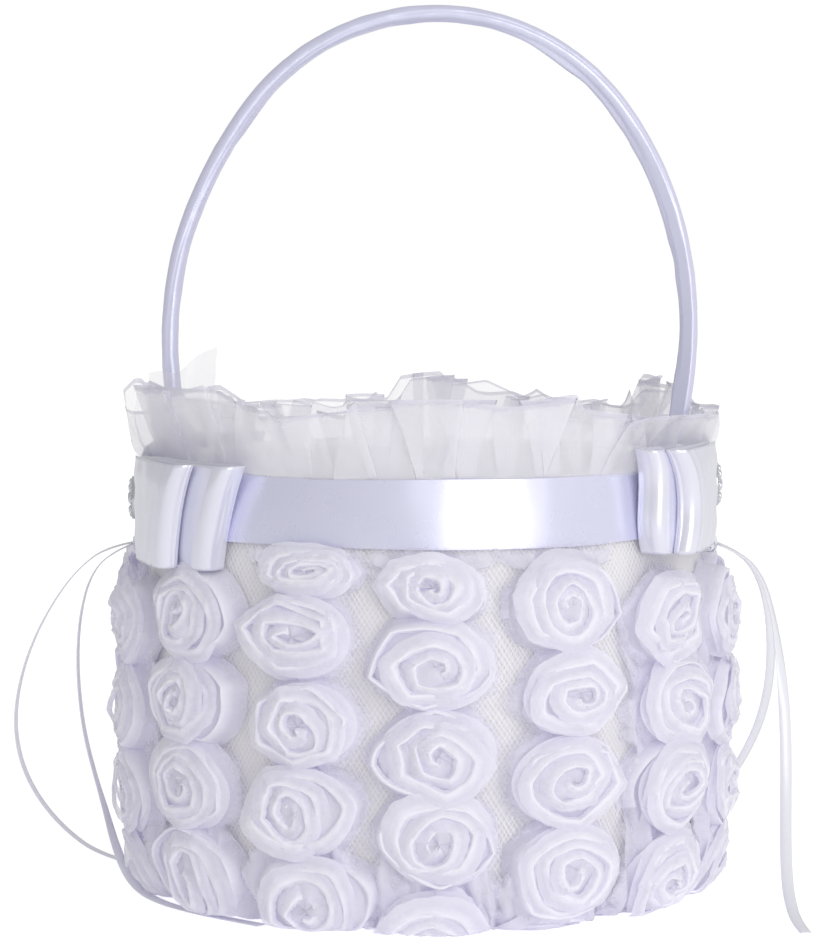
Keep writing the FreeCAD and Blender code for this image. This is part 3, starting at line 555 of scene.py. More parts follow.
def winding(seed, pick, half_width, half_height, depth):
    """The folded chiffon strip of a rosette, wound outwards."""
    turns = pick.uniform(3.5, 4.7)
    t = np.linspace(0, 1, int(turns * 56))
    wound = t * turns
    theta = pick.choice([-1, 1]) * TAU * turns * t + pick.uniform(0, TAU)

    sides = pick.integers(4, 6)
    corner_turn = pick.uniform(0, TAU) + 0.7 * wander(wound, seed + 1, 2.6, 2)
    sector = np.mod(theta + corner_turn, TAU / sides) - pi / sides
    corner = (1 / np.cos(sector) - 1) / (1 / cos(pi / sides) - 1)
    pointed = pick.uniform(0.06, 0.16)
    uneven = 0.09 * wander(wound, seed + 2, 1.3, 2) + 0.018 * wander(wound, seed + 13, 0.3, 2)
    reach = (0.04 + 0.90 * t**0.9) * (1 - pointed + pointed * corner) * (1 + uneven)
    reach = np.minimum(reach, 0.96) - 0.13 * ease(t, 0.9, 1.0)

    crest = depth * (1.0 - 0.36 * t**2.2) * (1 + 0.07 * wander(wound, seed + 3, 0.9, 3))
    crest += 0.5 * (corner - 0.5) * ease(t, 0.1, 0.4)
    crest -= depth * pick.uniform(-0.05, 0.22) * bell(t, 0.2)
    valley = pick.uniform(0.6, 0.95) * (1 + 0.35 * wander(wound, seed + 10, 1.1, 2))
    lean = 1.25 + 0.55 * t + 0.25 * wander(wound, seed + 4, 1.1, 2)

    out, dip, wall = STRIP_OUT[:, None], STRIP_DROP[:, None], STRIP_WALL[:, None]
    last_turn = ease(t, 1 - 1.1 / turns, 1 - 0.8 / turns)
    drop = dip * valley
    inside = np.where(out > 0, 0, dip) * valley
    drop = drop * (1 - last_turn) + np.maximum(wall * crest, inside) * last_turn
    ends = ease(t, 0.0, 0.03) * (1 - ease(t, 0.92, 1.0))
    streak = theta * pick.integers(5, 9) + 2.5 * wander(wound, seed + 5, 0.8, 2)
    fine = 0.18 * np.sin(out * 9.0 + 1.2 * np.sin(streak)) * (out > 0.1)
    rise = crest - drop - (1 - ends) * crest * 0.5 + fine
    rise = rise + 0.08 * wander(wound * 6 + out * 0.9, seed + 6, 1.2, 4)
    gathers = np.sin(theta * pick.integers(13, 19) + 3 * wander(wound, seed + 11, 1.7, 2))
    side_step = out * lean * (1 - 0.25 * last_turn) + 0.10 * gathers * np.clip(dip, 0, 1.2)

    long_way = pick.uniform(0, pi)
    stretch = pick.uniform(0.0, 0.55) * (1 - ease(t, 0.15, 0.85))
    shift = pick.uniform(0, TAU)
    aside = pick.uniform(0.0, 0.14) * (1 - t)
    x, y = turned(reach * np.cos(theta), reach * np.sin(theta), -long_way)
    x, y = turned(x * (1 + stretch), y * (1 - 0.5 * stretch), long_way)
    x = (x + aside * cos(shift)) * half_width + side_step * np.cos(theta)
    y = (y + aside * sin(shift)) * half_height + side_step * np.sin(theta)
    return Patches(together(x, y, np.maximum(rise, 0.15)), together(wound * TURN_CLOTH, dip + 0 * t))


def bloom(seed, half_width, half_height, depth, skirt):
    """One rosette: its winding, a heart in the middle and ragged petals behind.

    Its points are (across, up, out), and their places on the cloth (along, up from the fold)."""
    pick = default_rng(seed)
    rose = winding(seed, pick, half_width, half_height, depth)

    a = whole_turn(72)
    share = np.array([0.002, 0.2, 0.38, 0.55, 0.70, 0.84])[:, None]
    height = depth * (1 - 0.36 * share**2.2) - FOLD_OVER - 0.6 * share
    height = height + 0.25 * ring_wander(a, seed + 12, 2, 5)
    points = together(share * half_width * np.cos(a), share * half_height * np.sin(a), height)
    rose.add(points, (0.0, 0.8), True)

    share = np.array([0.55, 0.72, 0.86, 0.98, 1.06])[:, None] * skirt
    lift = np.array([3.2, 2.9, 2.2, 1.5, 0.8])[:, None]
    edge = np.array([6.0, 4.0, 2.4, 1.0, 0.0])[:, None]
    ragged = 0.05 * ring_wander(a, seed + 7, 2, 6) + 0.018 * ring_wander(a, seed + 8, 12, 30)
    wave = 0.6 * ring_wander(a, seed + 9, 3, 9)
    grow = share * (1 + ragged * ease(share, 0.6, 1.05))
    lift = np.maximum(lift + wave * share**3, 0.25)
    points = together(grow * half_width * np.cos(a), grow * half_height * np.sin(a), lift)
    rose.add(points, together(a * 12, edge), True, 1)
    return rose


def backing(seed, top, half_width):
    """Loose gathered chiffon behind a column of rosettes: ragged, and wider at its two ends.

    Its points are as bloom's, with up counted from the bottom of the bowl's side."""
    widest = 16.5
    u, s = np.meshgrid(np.linspace(-1, 1, 44), np.linspace(0.6, top, 150))
    low = 1 - ease(s, 22, 38)
    wide = half_width + (widest - half_width) * np.maximum(low, ease(s, top - 9, top - 3))
    ragged = wander(s, seed + 1, 16.0, 4) * (u < 0) + wander(s, seed + 2, 16.0, 4) * (u > 0)
    x = u * wide * (1 + 0.07 * ragged)
    slant = 0.35 * wander(s, seed + 3, 40.0, 2)
    folds = wander(x + slant * 3 + 0.2 * s, seed + 4, 9.0, 3)
    lift = 1.5 + 1.2 * (1 - u**2) + (0.75 + 0.7 * low) * folds
    lift += 0.5 * wander(s + x, seed + 5, 13.0, 2) + 1.6 * low * ease(s, 1, 9)
    edge = np.minimum((1 - np.abs(u)) * wide, np.minimum(s, top - s))
    return Patches(together(x, s, lift.clip(0.2, 6.5)), together(s, edge), kind=1)


def on_side(length, offset, turn, across, spread_at):
    """Points on the bowl's side, offset outwards, that stay above the floor.

    Widths across are true to size at the length spread_at."""
    radius, height = skin(length, offset)
    middle_radius, _ = skin(spread_at, 0)
    bent = 0.5 + (SOFT_FLOOR - 0.5) * np.exp((height - SOFT_FLOOR) / 3.0)
    height = np.where(height < SOFT_FLOOR, bent, height)
    return on_ring(radius, turn + across / middle_radius, height)


def build_rosettes():
    for column in range(COLUMNS):
        turn = FIRST_COLUMN_ANGLE + column * TAU / COLUMNS
        places = column_places(column)
        top = length_at(BAND_BOTTOM + 0.8)
        if column in UNDER_BOWS:
            top = places[0][0] + places[0][1] * 0.6
        half_width = 15.5 if column in LOOSE_COLUMNS else 7.5
        local, cloth, faces, kinds = backing(3000 + 10 * column, top, half_width).joined()
        across, up, out = local.T
        roses = Patches(on_side(up, out, turn, across, up), cloth, faces=faces, kind=kinds)
        for row, (at, half) in enumerate(places):
            squash = half / ROSETTE_HALF
            seed = 1000 + 40 * column + 7 * row
            pick = default_rng(seed + 500)
            size = pick.uniform(0.96, 1.05)
            wide = BLOOM_HALF_WIDTH * size * (0.85 + 0.15 * squash)
            tall = (BLOOM_HALF_HEIGHT if squash > 0.99 else ROSETTE_HALF * 1.02) * size * squash
            skirt = WIDE_SKIRT if row == len(places) - 1 else 1.0
            depth = BLOOM_DEPTH * (0.35 + 0.65 * squash)
            local, cloth, faces, kinds = bloom(seed, wide, tall, depth, skirt).joined()
            across, up, out = local.T
            across, up = turned(across, up, pick.uniform(-0.22, 0.22))
            slip = pick.uniform(-1.2, 1.2) + COLUMN_DRIFT.get(column, 0.0)
            points = on_side(at + up, out + 0.25, turn, across + slip, at)
            roses.add(points, cloth, faces=faces, kind=kinds)
        number = "%02d" % (column + 1)
        piece("rosettes_" + number, "chiffon", "rosette_column_" + number, roses)


# ---- gathered organza


# Height of the organza's free edge at each angle from the front, in degrees.
FREE_EDGE = (
    (-180, 126.8), (-173, 125.8), (-169, 120.0), (-150, 119.6), (-128, 121.0), (-100, 121.0),
    (-88, 123.0), (-80, 129.0), (-64, 127.6), (-52, 128.6), (-44, 129.6), (-38, 126.4), (-29, 126.2),
    (-27, 123.4), (-20, 124.4), (-14, 126.6), (-8, 127.6), (8, 127.8), (16, 126.2), (22, 128.0),
    (30, 128.3), (31.5, 124.4), (37, 122.8), (46, 122.8), (62, 122.0), (80, 120.8), (95, 121.0),
    (108, 120.6), (114, 126.4), (127, 126.6), (131, 120.4), (148, 119.6), (154, 122.6), (160, 120.4),
    (165, 121.0), (171, 125.4), (177, 124.6), (178, 127.0), (180, 126.8),
)


# Shortest and longest run of a box pleat's four folds, and the way each goes along the foot.
PLEAT_RUNS = ((10, 24, 1), (2.5, 6.5, -1), (6, 14, 1), (2.5, 6.5, -1))


def fold_plan(seed, girth):
    """Corners of crooked box pleats round a strip: cloth length, place at foot and top, depth."""
    pick = default_rng(seed)
    cloth, foot, top, depth = [0.0], [0.0], [0.0], [0.0]
    while foot[-1] < girth - 12:
        draws = pick.uniform(size=(4, 2))[:, 0]  # every second draw is spare
        for index, (shortest, longest, way) in enumerate(PLEAT_RUNS):
            run = shortest + (longest - shortest) * draws[index]
            cloth.append(cloth[-1] + run)
            foot.append(foot[-1] + way * run)
            top.append(foot[-1] + pick.uniform(-6.5, 6.5))
            depth.append((1 if index in (0, 3) else -1) * pick.uniform(0.45, 1.5))
    top[-1], depth[-1] = foot[-1], depth[0]
    scale = girth / foot[-1]
    return np.array(cloth), np.array(foot) * scale, np.array(top) * scale, np.array(depth)


def rounded(values, span=5):
    """Values smoothed along the strip over a few samples, closing round the ring."""
    kernel = np.hanning(span + 2)[1:-1]
    kernel /= kernel.sum()
    rise = values[-1] - values[0]
    half = span // 2
    padded = np.concatenate([values[-half - 1 : -1] - rise, values, values[1 : half + 1] + rise])
    return np.convolve(padded, kernel, mode="valid")


def creased(x, seed, shortest, longest):
    """A random zigzag over x, of unit size, with straight runs between those lengths."""
    pick = default_rng(seed)
    runs = pick.uniform(shortest, longest, int((np.ptp(x) + 2 * longest) / shortest) + 2)
    tips = pick.uniform(0.35, 1.0, len(runs)) * (-1) ** np.arange(len(runs))
    return np.interp(x, x.min() - longest + np.cumsum(runs), tips)


def build_ruffle(name, node, seed, foot_height, foot_radius, neck_radius, flare, ears, shift, higher):
    """An organza strip stitched in crooked box pleats, with a narrow rolled hem on its free edge.

    ears are places, in degrees, where it leans out further; higher is added to its free edge."""
    girth = TAU * neck_radius
    cloth, foot, top, depth = fold_plan(seed, girth)
    columns = 1500
    s = np.linspace(0, cloth[-1], columns)
    foot_at, top_at, depth_at = [rounded(np.interp(s, cloth, fold)) for fold in (foot, top, depth)]
    corners = default_rng(seed + 9).uniform(-0.9, 0.9, len(cloth))
    share = np.concatenate([np.linspace(0, 0.96, 19), [0.978, 1.0]])
    v = share[:, None]
    closing = ease(s, 0, 25) * (1 - ease(s, cloth[-1] - 25, cloth[-1]))
    tall = 0.9 * wander(s, seed + 4, 60.0, 3) + np.interp(s, cloth, corners)
    tall = (tall * closing).clip(-2.6, 2.2)
    degrees = (np.degrees(foot_at / neck_radius) + shift) % 360 - 180
    top_height = np.interp(degrees, *zip(*FREE_EDGE)) + higher
    rise = (top_height + 0.7 * tall - foot_height) * v
    height = foot_height + rise
    neck = max((RIM_HEIGHT - foot_height) / 27.0, 0.0)
    above = np.clip((v - neck) / (1 - neck), 0, 1)
    below = np.clip(v / neck, 0, 1) if neck else np.ones_like(v)
    angle = pi + (foot_at * (1 - above) + top_at * above) / neck_radius
    angle = angle + 0.02 * wander(s, seed + 2, 60.0, 2) * closing * above**1.5
    base = foot_radius + (neck_radius - foot_radius) * below + flare * above**1.1
    for where, wide, extra in ears:
        away = turn_from(radians(where), angle)
        base = base + extra * bell(away, radians(wide)) * np.sin(pi * above**0.5 * 0.8)
    belly = 0.55 * np.sin(pi * above) * wander(s, seed + 6, 30.0, 2) * closing
    curl = 1.1 * wander(s, seed + 5, 45.0, 2) * closing * above**2
    crossing = creased(s + 0.85 * rise, seed + 7, 9.0, 24.0)
    crossing += creased(s - 1.1 * rise, seed + 8, 10.0, 28.0)
    radius = base + depth_at * (0.14 + 1.25 * above**0.8) + belly + curl
    radius += 1.7 * crossing * above**0.6 * closing
    in_hem = np.arange(len(share) - 1) >= len(share) - 3
    kinds = np.repeat(in_hem.astype(int), columns - 1)
    gathers = Patches(on_ring(radius, angle, height), together(s, height), kind=kinds)
    strip = piece(name, "organza", node, gathers)


# The flap's left and right corner at its foot, half way up and at its free edge.
RAW_CORNER = (
    ((-66.5, -14.0, 108.5), (-58.5, -28.0, 108.5)),
    ((-68.5, -13.0, 119.0), (-53.0, -29.0, 119.5)),
    ((-69.2, -10.0, 131.2), (-51.0, -28.0, 138.6)),
)


def build_raw_corner():
    """The outer strip's cut end: it stands up as a pointed flap beside the left handle leg."""
    u, v = np.meshgrid(np.linspace(0, 1, 26), np.linspace(0, 1, 30))
    sideways, w = u[..., None], v[..., None]
    left, right = np.array(RAW_CORNER).transpose(1, 0, 2)
    low, mid, high = [left[i] * (1 - sideways) + right[i] * sideways for i in range(3)]
    points = low * (1 - w) * (1 - 2 * w) + mid * 4 * w * (1 - w) + high * w * (2 * w - 1)
    points[..., 2] -= 2.6 * bell(u - 0.42, 0.2) * v**3
    points[..., 1] -= 1.3 * bell(u - 0.30 - 0.25 * v, 0.10) * v + 0.5 * np.sin(v * 5 + u * 4) * v
    cloth = Patches(points, together(u * 17, v * 27))
    flap = piece("organza_raw_corner", "organza", None, cloth)


def build_ruffles():
    ears = ((-88, 13, 5.6), (92, 14, 2.4))
    build_ruffle("outer_organza", "outer_ruffle", 61, 100.0, 67.0, 67.3, 4.4, ears, 0.0, 0.2)
    build_ruffle("inner_organza", "inner_ruffle", 88, 109.8, 65.7, 65.7, 3.2, (), 2.5, -0.6)
    build_raw_corner()


# ---- satin band


def build_band():
    """Flat ribbon round the rim, slightly crowned, with small puckers along its upper edge."""
    angle, wall = whole_turn(720), 0.35
    share = np.concatenate([[0.0, 0.015], np.linspace(0.04, 0.96, 18), [0.985, 1.0]])
    a, v = np.meshgrid(angle, share)
    height = BAND_BOTTOM + (RIM_HEIGHT + 0.2 - BAND_BOTTOM) * v
    height += 0.25 * ring_wander(a, 41, 2, 7) * v + 0.18 * ring_wander(a, 42, 3, 12) * (1 - v)
    crown = 0.22 * np.sin(pi * v)
    pucker = 0.022 * ring_wander(a, 43, 24, 60) * (0.25 + v**2)
    slack = 0.10 * ring_wander(a + 0.2 * v, 44, 4, 12)
    outer = side_radius(height, BAND_OUT + 0.05) + crown + pucker + slack + 0.25
    rows = np.concatenate([on_ring(outer, a, height), on_ring(outer - wall, a, height)[::-1]])
    rows = np.concatenate([rows, rows[:1]])
    across = np.concatenate([height, height[::-1], height[:1]])
    band = Patches(rows, together(angle * RIM_RADIUS, across), True)
    piece("satin_band_ribbon", "band_satin", "satin_band", band)


# ---- handle

CROWN_RADIUS, SIDE_BEND, FOOT_BEND = 58.0, 100.0, 30.0
HANDLE_TOP, HALF_SPAN = 221.1, 66.2
SLEEVE_RADIUS, WIRE_RADIUS = 2.05, 1.28
PRESSED_AT, PRESSED_REACH = 1.13, 1.55  # where the sleeve is pressed flat, and how far it reaches


def arc(x, z, radius, start, end, count):
    """Points (x, z) on part of a circle."""
    return [(x + radius * cos(a), z + radius * sin(a)) for a in np.linspace(start, end, count)]


def handle_line():
    """Centre line of the hoop from the left leg to the right one, as (x, z) about 1 mm apart.

    The hoop leans a little towards +X."""
    crown_z = HANDLE_TOP - CROWN_RADIUS
    side_x = HALF_SPAN - SIDE_BEND
    side_z = crown_z - sqrt((SIDE_BEND - CROWN_RADIUS) ** 2 - side_x**2)
    shoulder = atan2(crown_z - side_z, -side_x)
    foot_x = LEG_OFFSET + FOOT_BEND
    foot_z = side_z - sqrt((FOOT_BEND + SIDE_BEND) ** 2 - (foot_x - side_x) ** 2)
    turn = atan2(foot_z - side_z, foot_x - side_x)
    half = [(LEG_OFFSET, z) for z in np.arange(LEG_BOTTOM, foot_z, 1.0)]
    half += arc(foot_x, foot_z, FOOT_BEND, pi, pi + turn, 10)
    half += arc(side_x, side_z, SIDE_BEND, turn, shoulder, 90)[1:]
    half = np.array(half + arc(0, crown_z, CROWN_RADIUS, shoulder, pi / 2, 60)[1:])
    line = np.concatenate([half, half[::-1][1:] * [-1, 1]])[::-1]
    x, height = line.T
    left_leg = 1.6 * ease(height, 104, 124) * ease(-x, 0, 40)
    line[:, 0] += np.maximum(2.6 * ease(height, 112, 200), left_leg)
    return line


def hoop_tube(line, reach, phi):
    """Points round a line in the XZ plane.

    phi is 0 inside the hoop and a quarter turn at the front."""
    step_x, step_z = headings(line).T[:, :, None]
    x = line[:, :1] + step_z * reach * np.cos(phi)
    z = line[:, 1:] - step_x * reach * np.cos(phi)
    return together(x, -reach * np.sin(phi), z)


def build_handle():
    """The steel hoop and its satin sleeve, which has a loose flap and a seam crease."""
    line = handle_line()
    run = run_along(line)
    share = run / run[-1]
    p, u = np.meshgrid(whole_turn(48), run)
    right = ease(share, 0.5, 0.62) * (1 - 0.7 * ease(share, 0.74, 0.88))
    flap = (0.25 + 0.35 * wander(share, 71, 0.20, 3).clip(0, 1)) * ease(share, 0.1, 0.2)
    flap = flap * (1 - ease(share, 0.9, 0.97))
    flap = flap + right * (0.75 + 0.45 * wander(share, 75, 0.14, 3))
    flap_at = 0.45 * wander(share, 72, 0.5, 2)
    crease_at = pi / 2 + 0.35 * wander(share, 73, 0.6, 2)
    from_flap, from_crease = turn_from(flap_at[:, None], p), turn_from(crease_at[:, None], p)
    reach = SLEEVE_RADIUS + flap.clip(0.1, 1.8)[:, None] * bell(from_flap, 0.24)
    reach -= 0.14 * bell(from_crease, 0.16)
    reach += 0.04 * wander(u, 74, 9.0, 2) * np.sin(p * 2 + u * 0.12)
    flat_side = PRESSED_REACH / np.cos(turn_from(PRESSED_AT, p)).clip(0.5, 1)
    pressed = ease(share, 0.64, 0.72) * (1 - ease(share, 0.90, 0.96))
    facing = np.cos(p - PRESSED_AT) > 0.3
    reach -= (reach - flat_side).clip(0, 1.2) * pressed[:, None] * facing
    sleeve = Patches(hoop_tube(line, reach, p), together(u, p * 2.2), True)
    piece("handle_sleeve_cloth", "sleeve_satin", "handle_sleeve", sleeve)
    p, u = np.meshgrid(whole_turn(16), run)
    points = hoop_tube(line, WIRE_RADIUS + 0.015 * np.sin(u * 1.7 + p), p)
    wire = Patches(points, together(u, p), True)
    piece("handle_steel_wire", "wire", "handle_wire", wire)


# ---- bows

LOOP_ROOT = radians(3.5)
RIBBON_WALL, KNOT_WALL = 0.32, 0.3
BOW_MIDDLE = {-1: BOW_HEIGHT - 0.5, 1: BOW_HEIGHT + 3.0}

# For each kind of loop, where its fold stands, in degrees from the side of the basket, across the
# ribbon; then the ridges across it: distance behind the fold, height and half width.
LOOPS = {
    (-1, "long"): (
        ((-1, 47.0), (-0.5, 47.6), (-0.1, 49.1), (0.3, 50.3), (0.6, 50.9), (1, 52.9)),
        ((4.4, 0.30, 1.0),),
    ),
    (-1, "short"): (
        ((-1, 39.1), (-0.5, 39.6), (-0.1, 40.4), (0.3, 41.4), (0.6, 42.3), (1, 44.2)),
        ((5.0, 0.35, 1.1), (9.5, 0.30, 1.4)),
    ),
    (1, "long"): (
        ((-1, 42.6), (-0.6, 43.4), (0, 43.9), (0.66, 43.5), (1, 44.9)),
        ((3.6, 0.20, 0.8),),
    ),
    (1, "short"): (
        ((-1, 39.0), (-0.5, 38.2), (0, 37.8), (0.5, 39.0), (1, 41.7)),
        ((2.9, 0.42, 0.55), (6.8, 0.25, 1.2)),
    ),
}
# How far each kind of loop stands off the bow's seat: its inner layer at root and fold, then outer.
LOOP_LAYERS = {"long": (0.15, 0.15, 1.35, 7.2), "short": (1.75, 6.4, 2.95, 11.4)}
INNER_BEND, OUTER_BEND = 1.4, 2.7  # radius of a loop's fold at its inner and outer edge


def loop_cloth(side, way, kind, seed):
    """Points and cloth places of a bow's ribbon loop, with a rounded fold at its tip."""
    inner_root, inner_fold, outer_root, outer_fold = LOOP_LAYERS[kind]
    reach = BOW_SEAT + (inner_fold + outer_fold) / 2
    tips, creases = LOOPS[(side, kind)]
    across_fit = np.polyfit(*zip(*tips), 3)
    go = np.linspace(0, 1, 56)
    back = go[::-1]
    under = np.linspace(-pi / 2, 0, 10)[1:]
    over = np.linspace(0, pi / 2, 14)[:-1]
    face = np.linspace(0, 1, 12)[1:-1]
    share = np.concatenate([go, 0 * under + 1, 0 * face + 1, 0 * over + 1, back])
    outside = np.concatenate([0 * go, 0 * under, face, 0 * over + 1, 0 * back + 1])
    rows, lay = [], []
    for q in np.linspace(-1, 1, 31):
        tip = radians(np.polyval(across_fit, q))
        peak = outer_fold - 0.55 * q**4
        low, high = inner_fold + INNER_BEND, peak - OUTER_BEND
        out = (
            inner_root + (inner_fold - inner_root) * go**1.5,
            low + INNER_BEND * np.sin(under),
            low + (high - low) * face,
            high + OUTER_BEND * np.sin(over),
            outer_root + (peak - outer_root) * back**1.5,
        )
        tuck = (
            0 * go - INNER_BEND,
            INNER_BEND * np.cos(under) - INNER_BEND,
            0.5 * np.sin(pi * face) * cos(1.4 * q),
            OUTER_BEND * np.cos(over) - OUTER_BEND,
            0 * back - OUTER_BEND,
        )
        angle = LOOP_ROOT + (tip - LOOP_ROOT) * share + np.concatenate(tuck) * share / reach
        pleat = 0.45 * np.cos(q * 3.2 * pi) * np.exp(-share / 0.30) * outside
        soft = 0.18 * wander(share * 3 + q * 0.35, seed + 1, 1.6, 2)
        soft = soft * np.sin(pi * share) * outside
        crease = np.zeros_like(share)
        for behind, tall, wide in creases:
            away = (tip - angle) * reach - behind - 0.3 * sin(2.2 * q + behind)
            crease += tall * bell(away, wide) * (outside == 1)
        radius = BOW_SEAT + np.concatenate(out) + pleat + soft + crease
        rise = q * RIBBON_WIDTH / 2 * (1 - 0.26 * np.exp(-share / 0.16))
        line = together(side * radius * np.cos(angle), way * radius * np.sin(angle))
        rows.append(np.column_stack([line, BOW_MIDDLE[side] + rise]))
        lay.append(together(run_along(line), q * RIBBON_WIDTH / 2))
    return Patches(np.array(rows), np.array(lay))


def wrapped_knot(side, height, middle, half_depth, half_width, half_height, ridges):
    """A ribbon wrapped over and under the middle of a bow, ridged along its turns."""
    t, q = np.meshgrid(whole_turn(64), np.linspace(-1, 1, 25))
    depth, tall = [np.sign(c) * np.abs(c) ** 0.55 for c in (np.cos(t), np.sin(t))]
    depth, tall = half_depth * depth, half_height * tall
    rounding = np.sqrt(1 - 0.55 * q**6)
    ridge = 1 + 0.07 * np.cos(q * ridges * pi) + 0.03 * np.sin(t * 2 + q * 4)
    radius = middle + depth * rounding * ridge
    y = half_width * q * (1 - 0.05 * np.cos(t * 2))
    points = together(side * radius, y, height + tall * (0.95 + 0.05 * rounding))
    return Patches(points, together(t * half_height, q * half_width), True)


TAIL_KNOT_HEIGHT = 87.4


def build_tail_knot(hand, side):
    """Small overhand knot of the narrow ribbon: one wrap across two crossed turns."""
    node = "tail_knot_" + hand
    knot = wrapped_knot(side, TAIL_KNOT_HEIGHT, BOW_SEAT + 2.1, 2.1, 1.6, 2.2, 2.0)
    t, u = np.meshgrid(whole_turn(20), np.linspace(-1, 1, 22))
    thick = 1.25 * np.sqrt(np.clip(1 - u**6, 0.02, 1))
    sideways = u * 3.9
    for sign in (-1, 1):
        x = side * (BOW_SEAT + 2.0 + thick * np.cos(t) * 0.95 + 0.35 * sign)
        z = TAIL_KNOT_HEIGHT + thick * np.sin(t) * 0.9 + sign * 0.75 * u
        knot.add(together(x, sideways, z), together(sideways, t), True)
    piece(node + "_ribbon", "narrow_ribbon", node, knot)


# Rings of a cut stone, from its girdle to its table: shares of its radius, height and facet.
STONE_RINGS = ((0.97, 0.0, 0.0), (1.0, 0.3, 0.0), (0.78, 0.75, 0.5), (0.52, 1.0, 0.0))


def cut_stone(radius, height, facets):
    """The x, y and height of a cut stone's points, and its triangles."""
    reach, rise, shift = np.array(STONE_RINGS).T[:, :, None]
    a = whole_turn(facets) + shift * TAU / facets
    points = together(radius * reach * np.cos(a), radius * reach * np.sin(a), height * rise)
    points = np.vstack([points.reshape(-1, 3), (0, 0, height)])
    quads = grid_faces(len(STONE_RINGS), facets, True)
    table = together(*quads[-facets:, [3, 2]].T, len(points) - 1)
    return points.T, np.concatenate([quads[:, [[0, 1, 2], [0, 2, 3]]].reshape(-1, 3), table])


CUP_PROFILE = ((0.4, 0.0), (5.0, 0.0), (5.5, 0.25), (5.5, 0.95), (5.25, 1.15), (4.9, 0.95), (0.4, 0.9))
BEADS, BEAD_RADIUS, BEAD_RING, BEAD_HEIGHT = 24, 0.34, 5.15, 1.12
SIDE_STONES, SIDE_RING, STONE_SEAT = 8, 3.9, 0.95


def build_rhinestones(hand, side):
    """Plated cup with a beaded edge, one centre stone and eight round it."""

    def stand(x, y, out):
        """Points that face away from the basket, from points that face up."""
        return together(side * (BOW_SEAT + 3.0 + out), x, BOW_MIDDLE[side] + y)

    a, (r, out) = whole_turn(64), np.array(CUP_PROFILE).T[:, :, None]
    cup = Patches(stand(r * np.cos(a), r * np.sin(a), out), wrap=True)
    u, v = np.meshgrid(whole_turn(8), np.linspace(0.05, pi - 0.05, 6))
    x, y, out = [BEAD_RADIUS * part for part in (np.sin(v) * np.cos(u), np.sin(v) * np.sin(u), np.cos(v))]
    for turn in whole_turn(BEADS):
        bead_x, bead_y = x + BEAD_RING * cos(turn), y + BEAD_RING * sin(turn)
        cup.add(stand(bead_x, bead_y, out + BEAD_HEIGHT), wrap=True)
    node = "rhinestone_setting_" + hand
    piece("rhinestone_cup_" + hand, "setting", node, cup, woven=False)

    (x, y, out), triangles = cut_stone(2.1, 1.5, 12)
    stones = Patches(stand(x, y, out + STONE_SEAT), faces=triangles)
    (x, y, out), triangles = cut_stone(1.28, 1.15, 10)
    for turn in whole_turn(SIDE_STONES):
        stone_x, stone_y = x + SIDE_RING * cos(turn), y + SIDE_RING * sin(turn)
        stones.add(stand(stone_x, stone_y, out + STONE_SEAT), faces=triangles)
    node = "rhinestones_" + hand
    gems = piece("cut_stones_" + hand, "stone", node, stones, woven=False)
    gems.data.shade_flat()


def build_bows():
    for hand, side in (("left", -1), ("right", 1)):
        for way_name, way in (("front", -1), ("back", 1)):
            for kind in ("long", "short"):
                seed = 200 + 20 * (side + 1) + 5 * (way + 1) + (3 if kind == "long" else 0)
                node = f"bow_{hand}_{kind}_loop_{way_name}"
                ribbon = loop_cloth(side, way, kind, seed)
                piece(node + "_ribbon", "bow_satin", node, ribbon, wall=RIBBON_WALL)
        node = f"bow_{hand}_knot"
        knot = wrapped_knot(side, BOW_MIDDLE[side], BOW_SEAT + 1.6, 1.75, 4.3, 10.2, 3.0)
        piece(node + "_wrap", "bow_satin", node, knot, wall=KNOT_WALL)
        build_tail_knot(hand, side)
        build_rhinestones(hand, side)


# ---- ribbon tails

KNOT_FACE = BOW_SEAT + 4.2
TAIL_WIDTH, TAIL_WALL = 3.0, 0.3

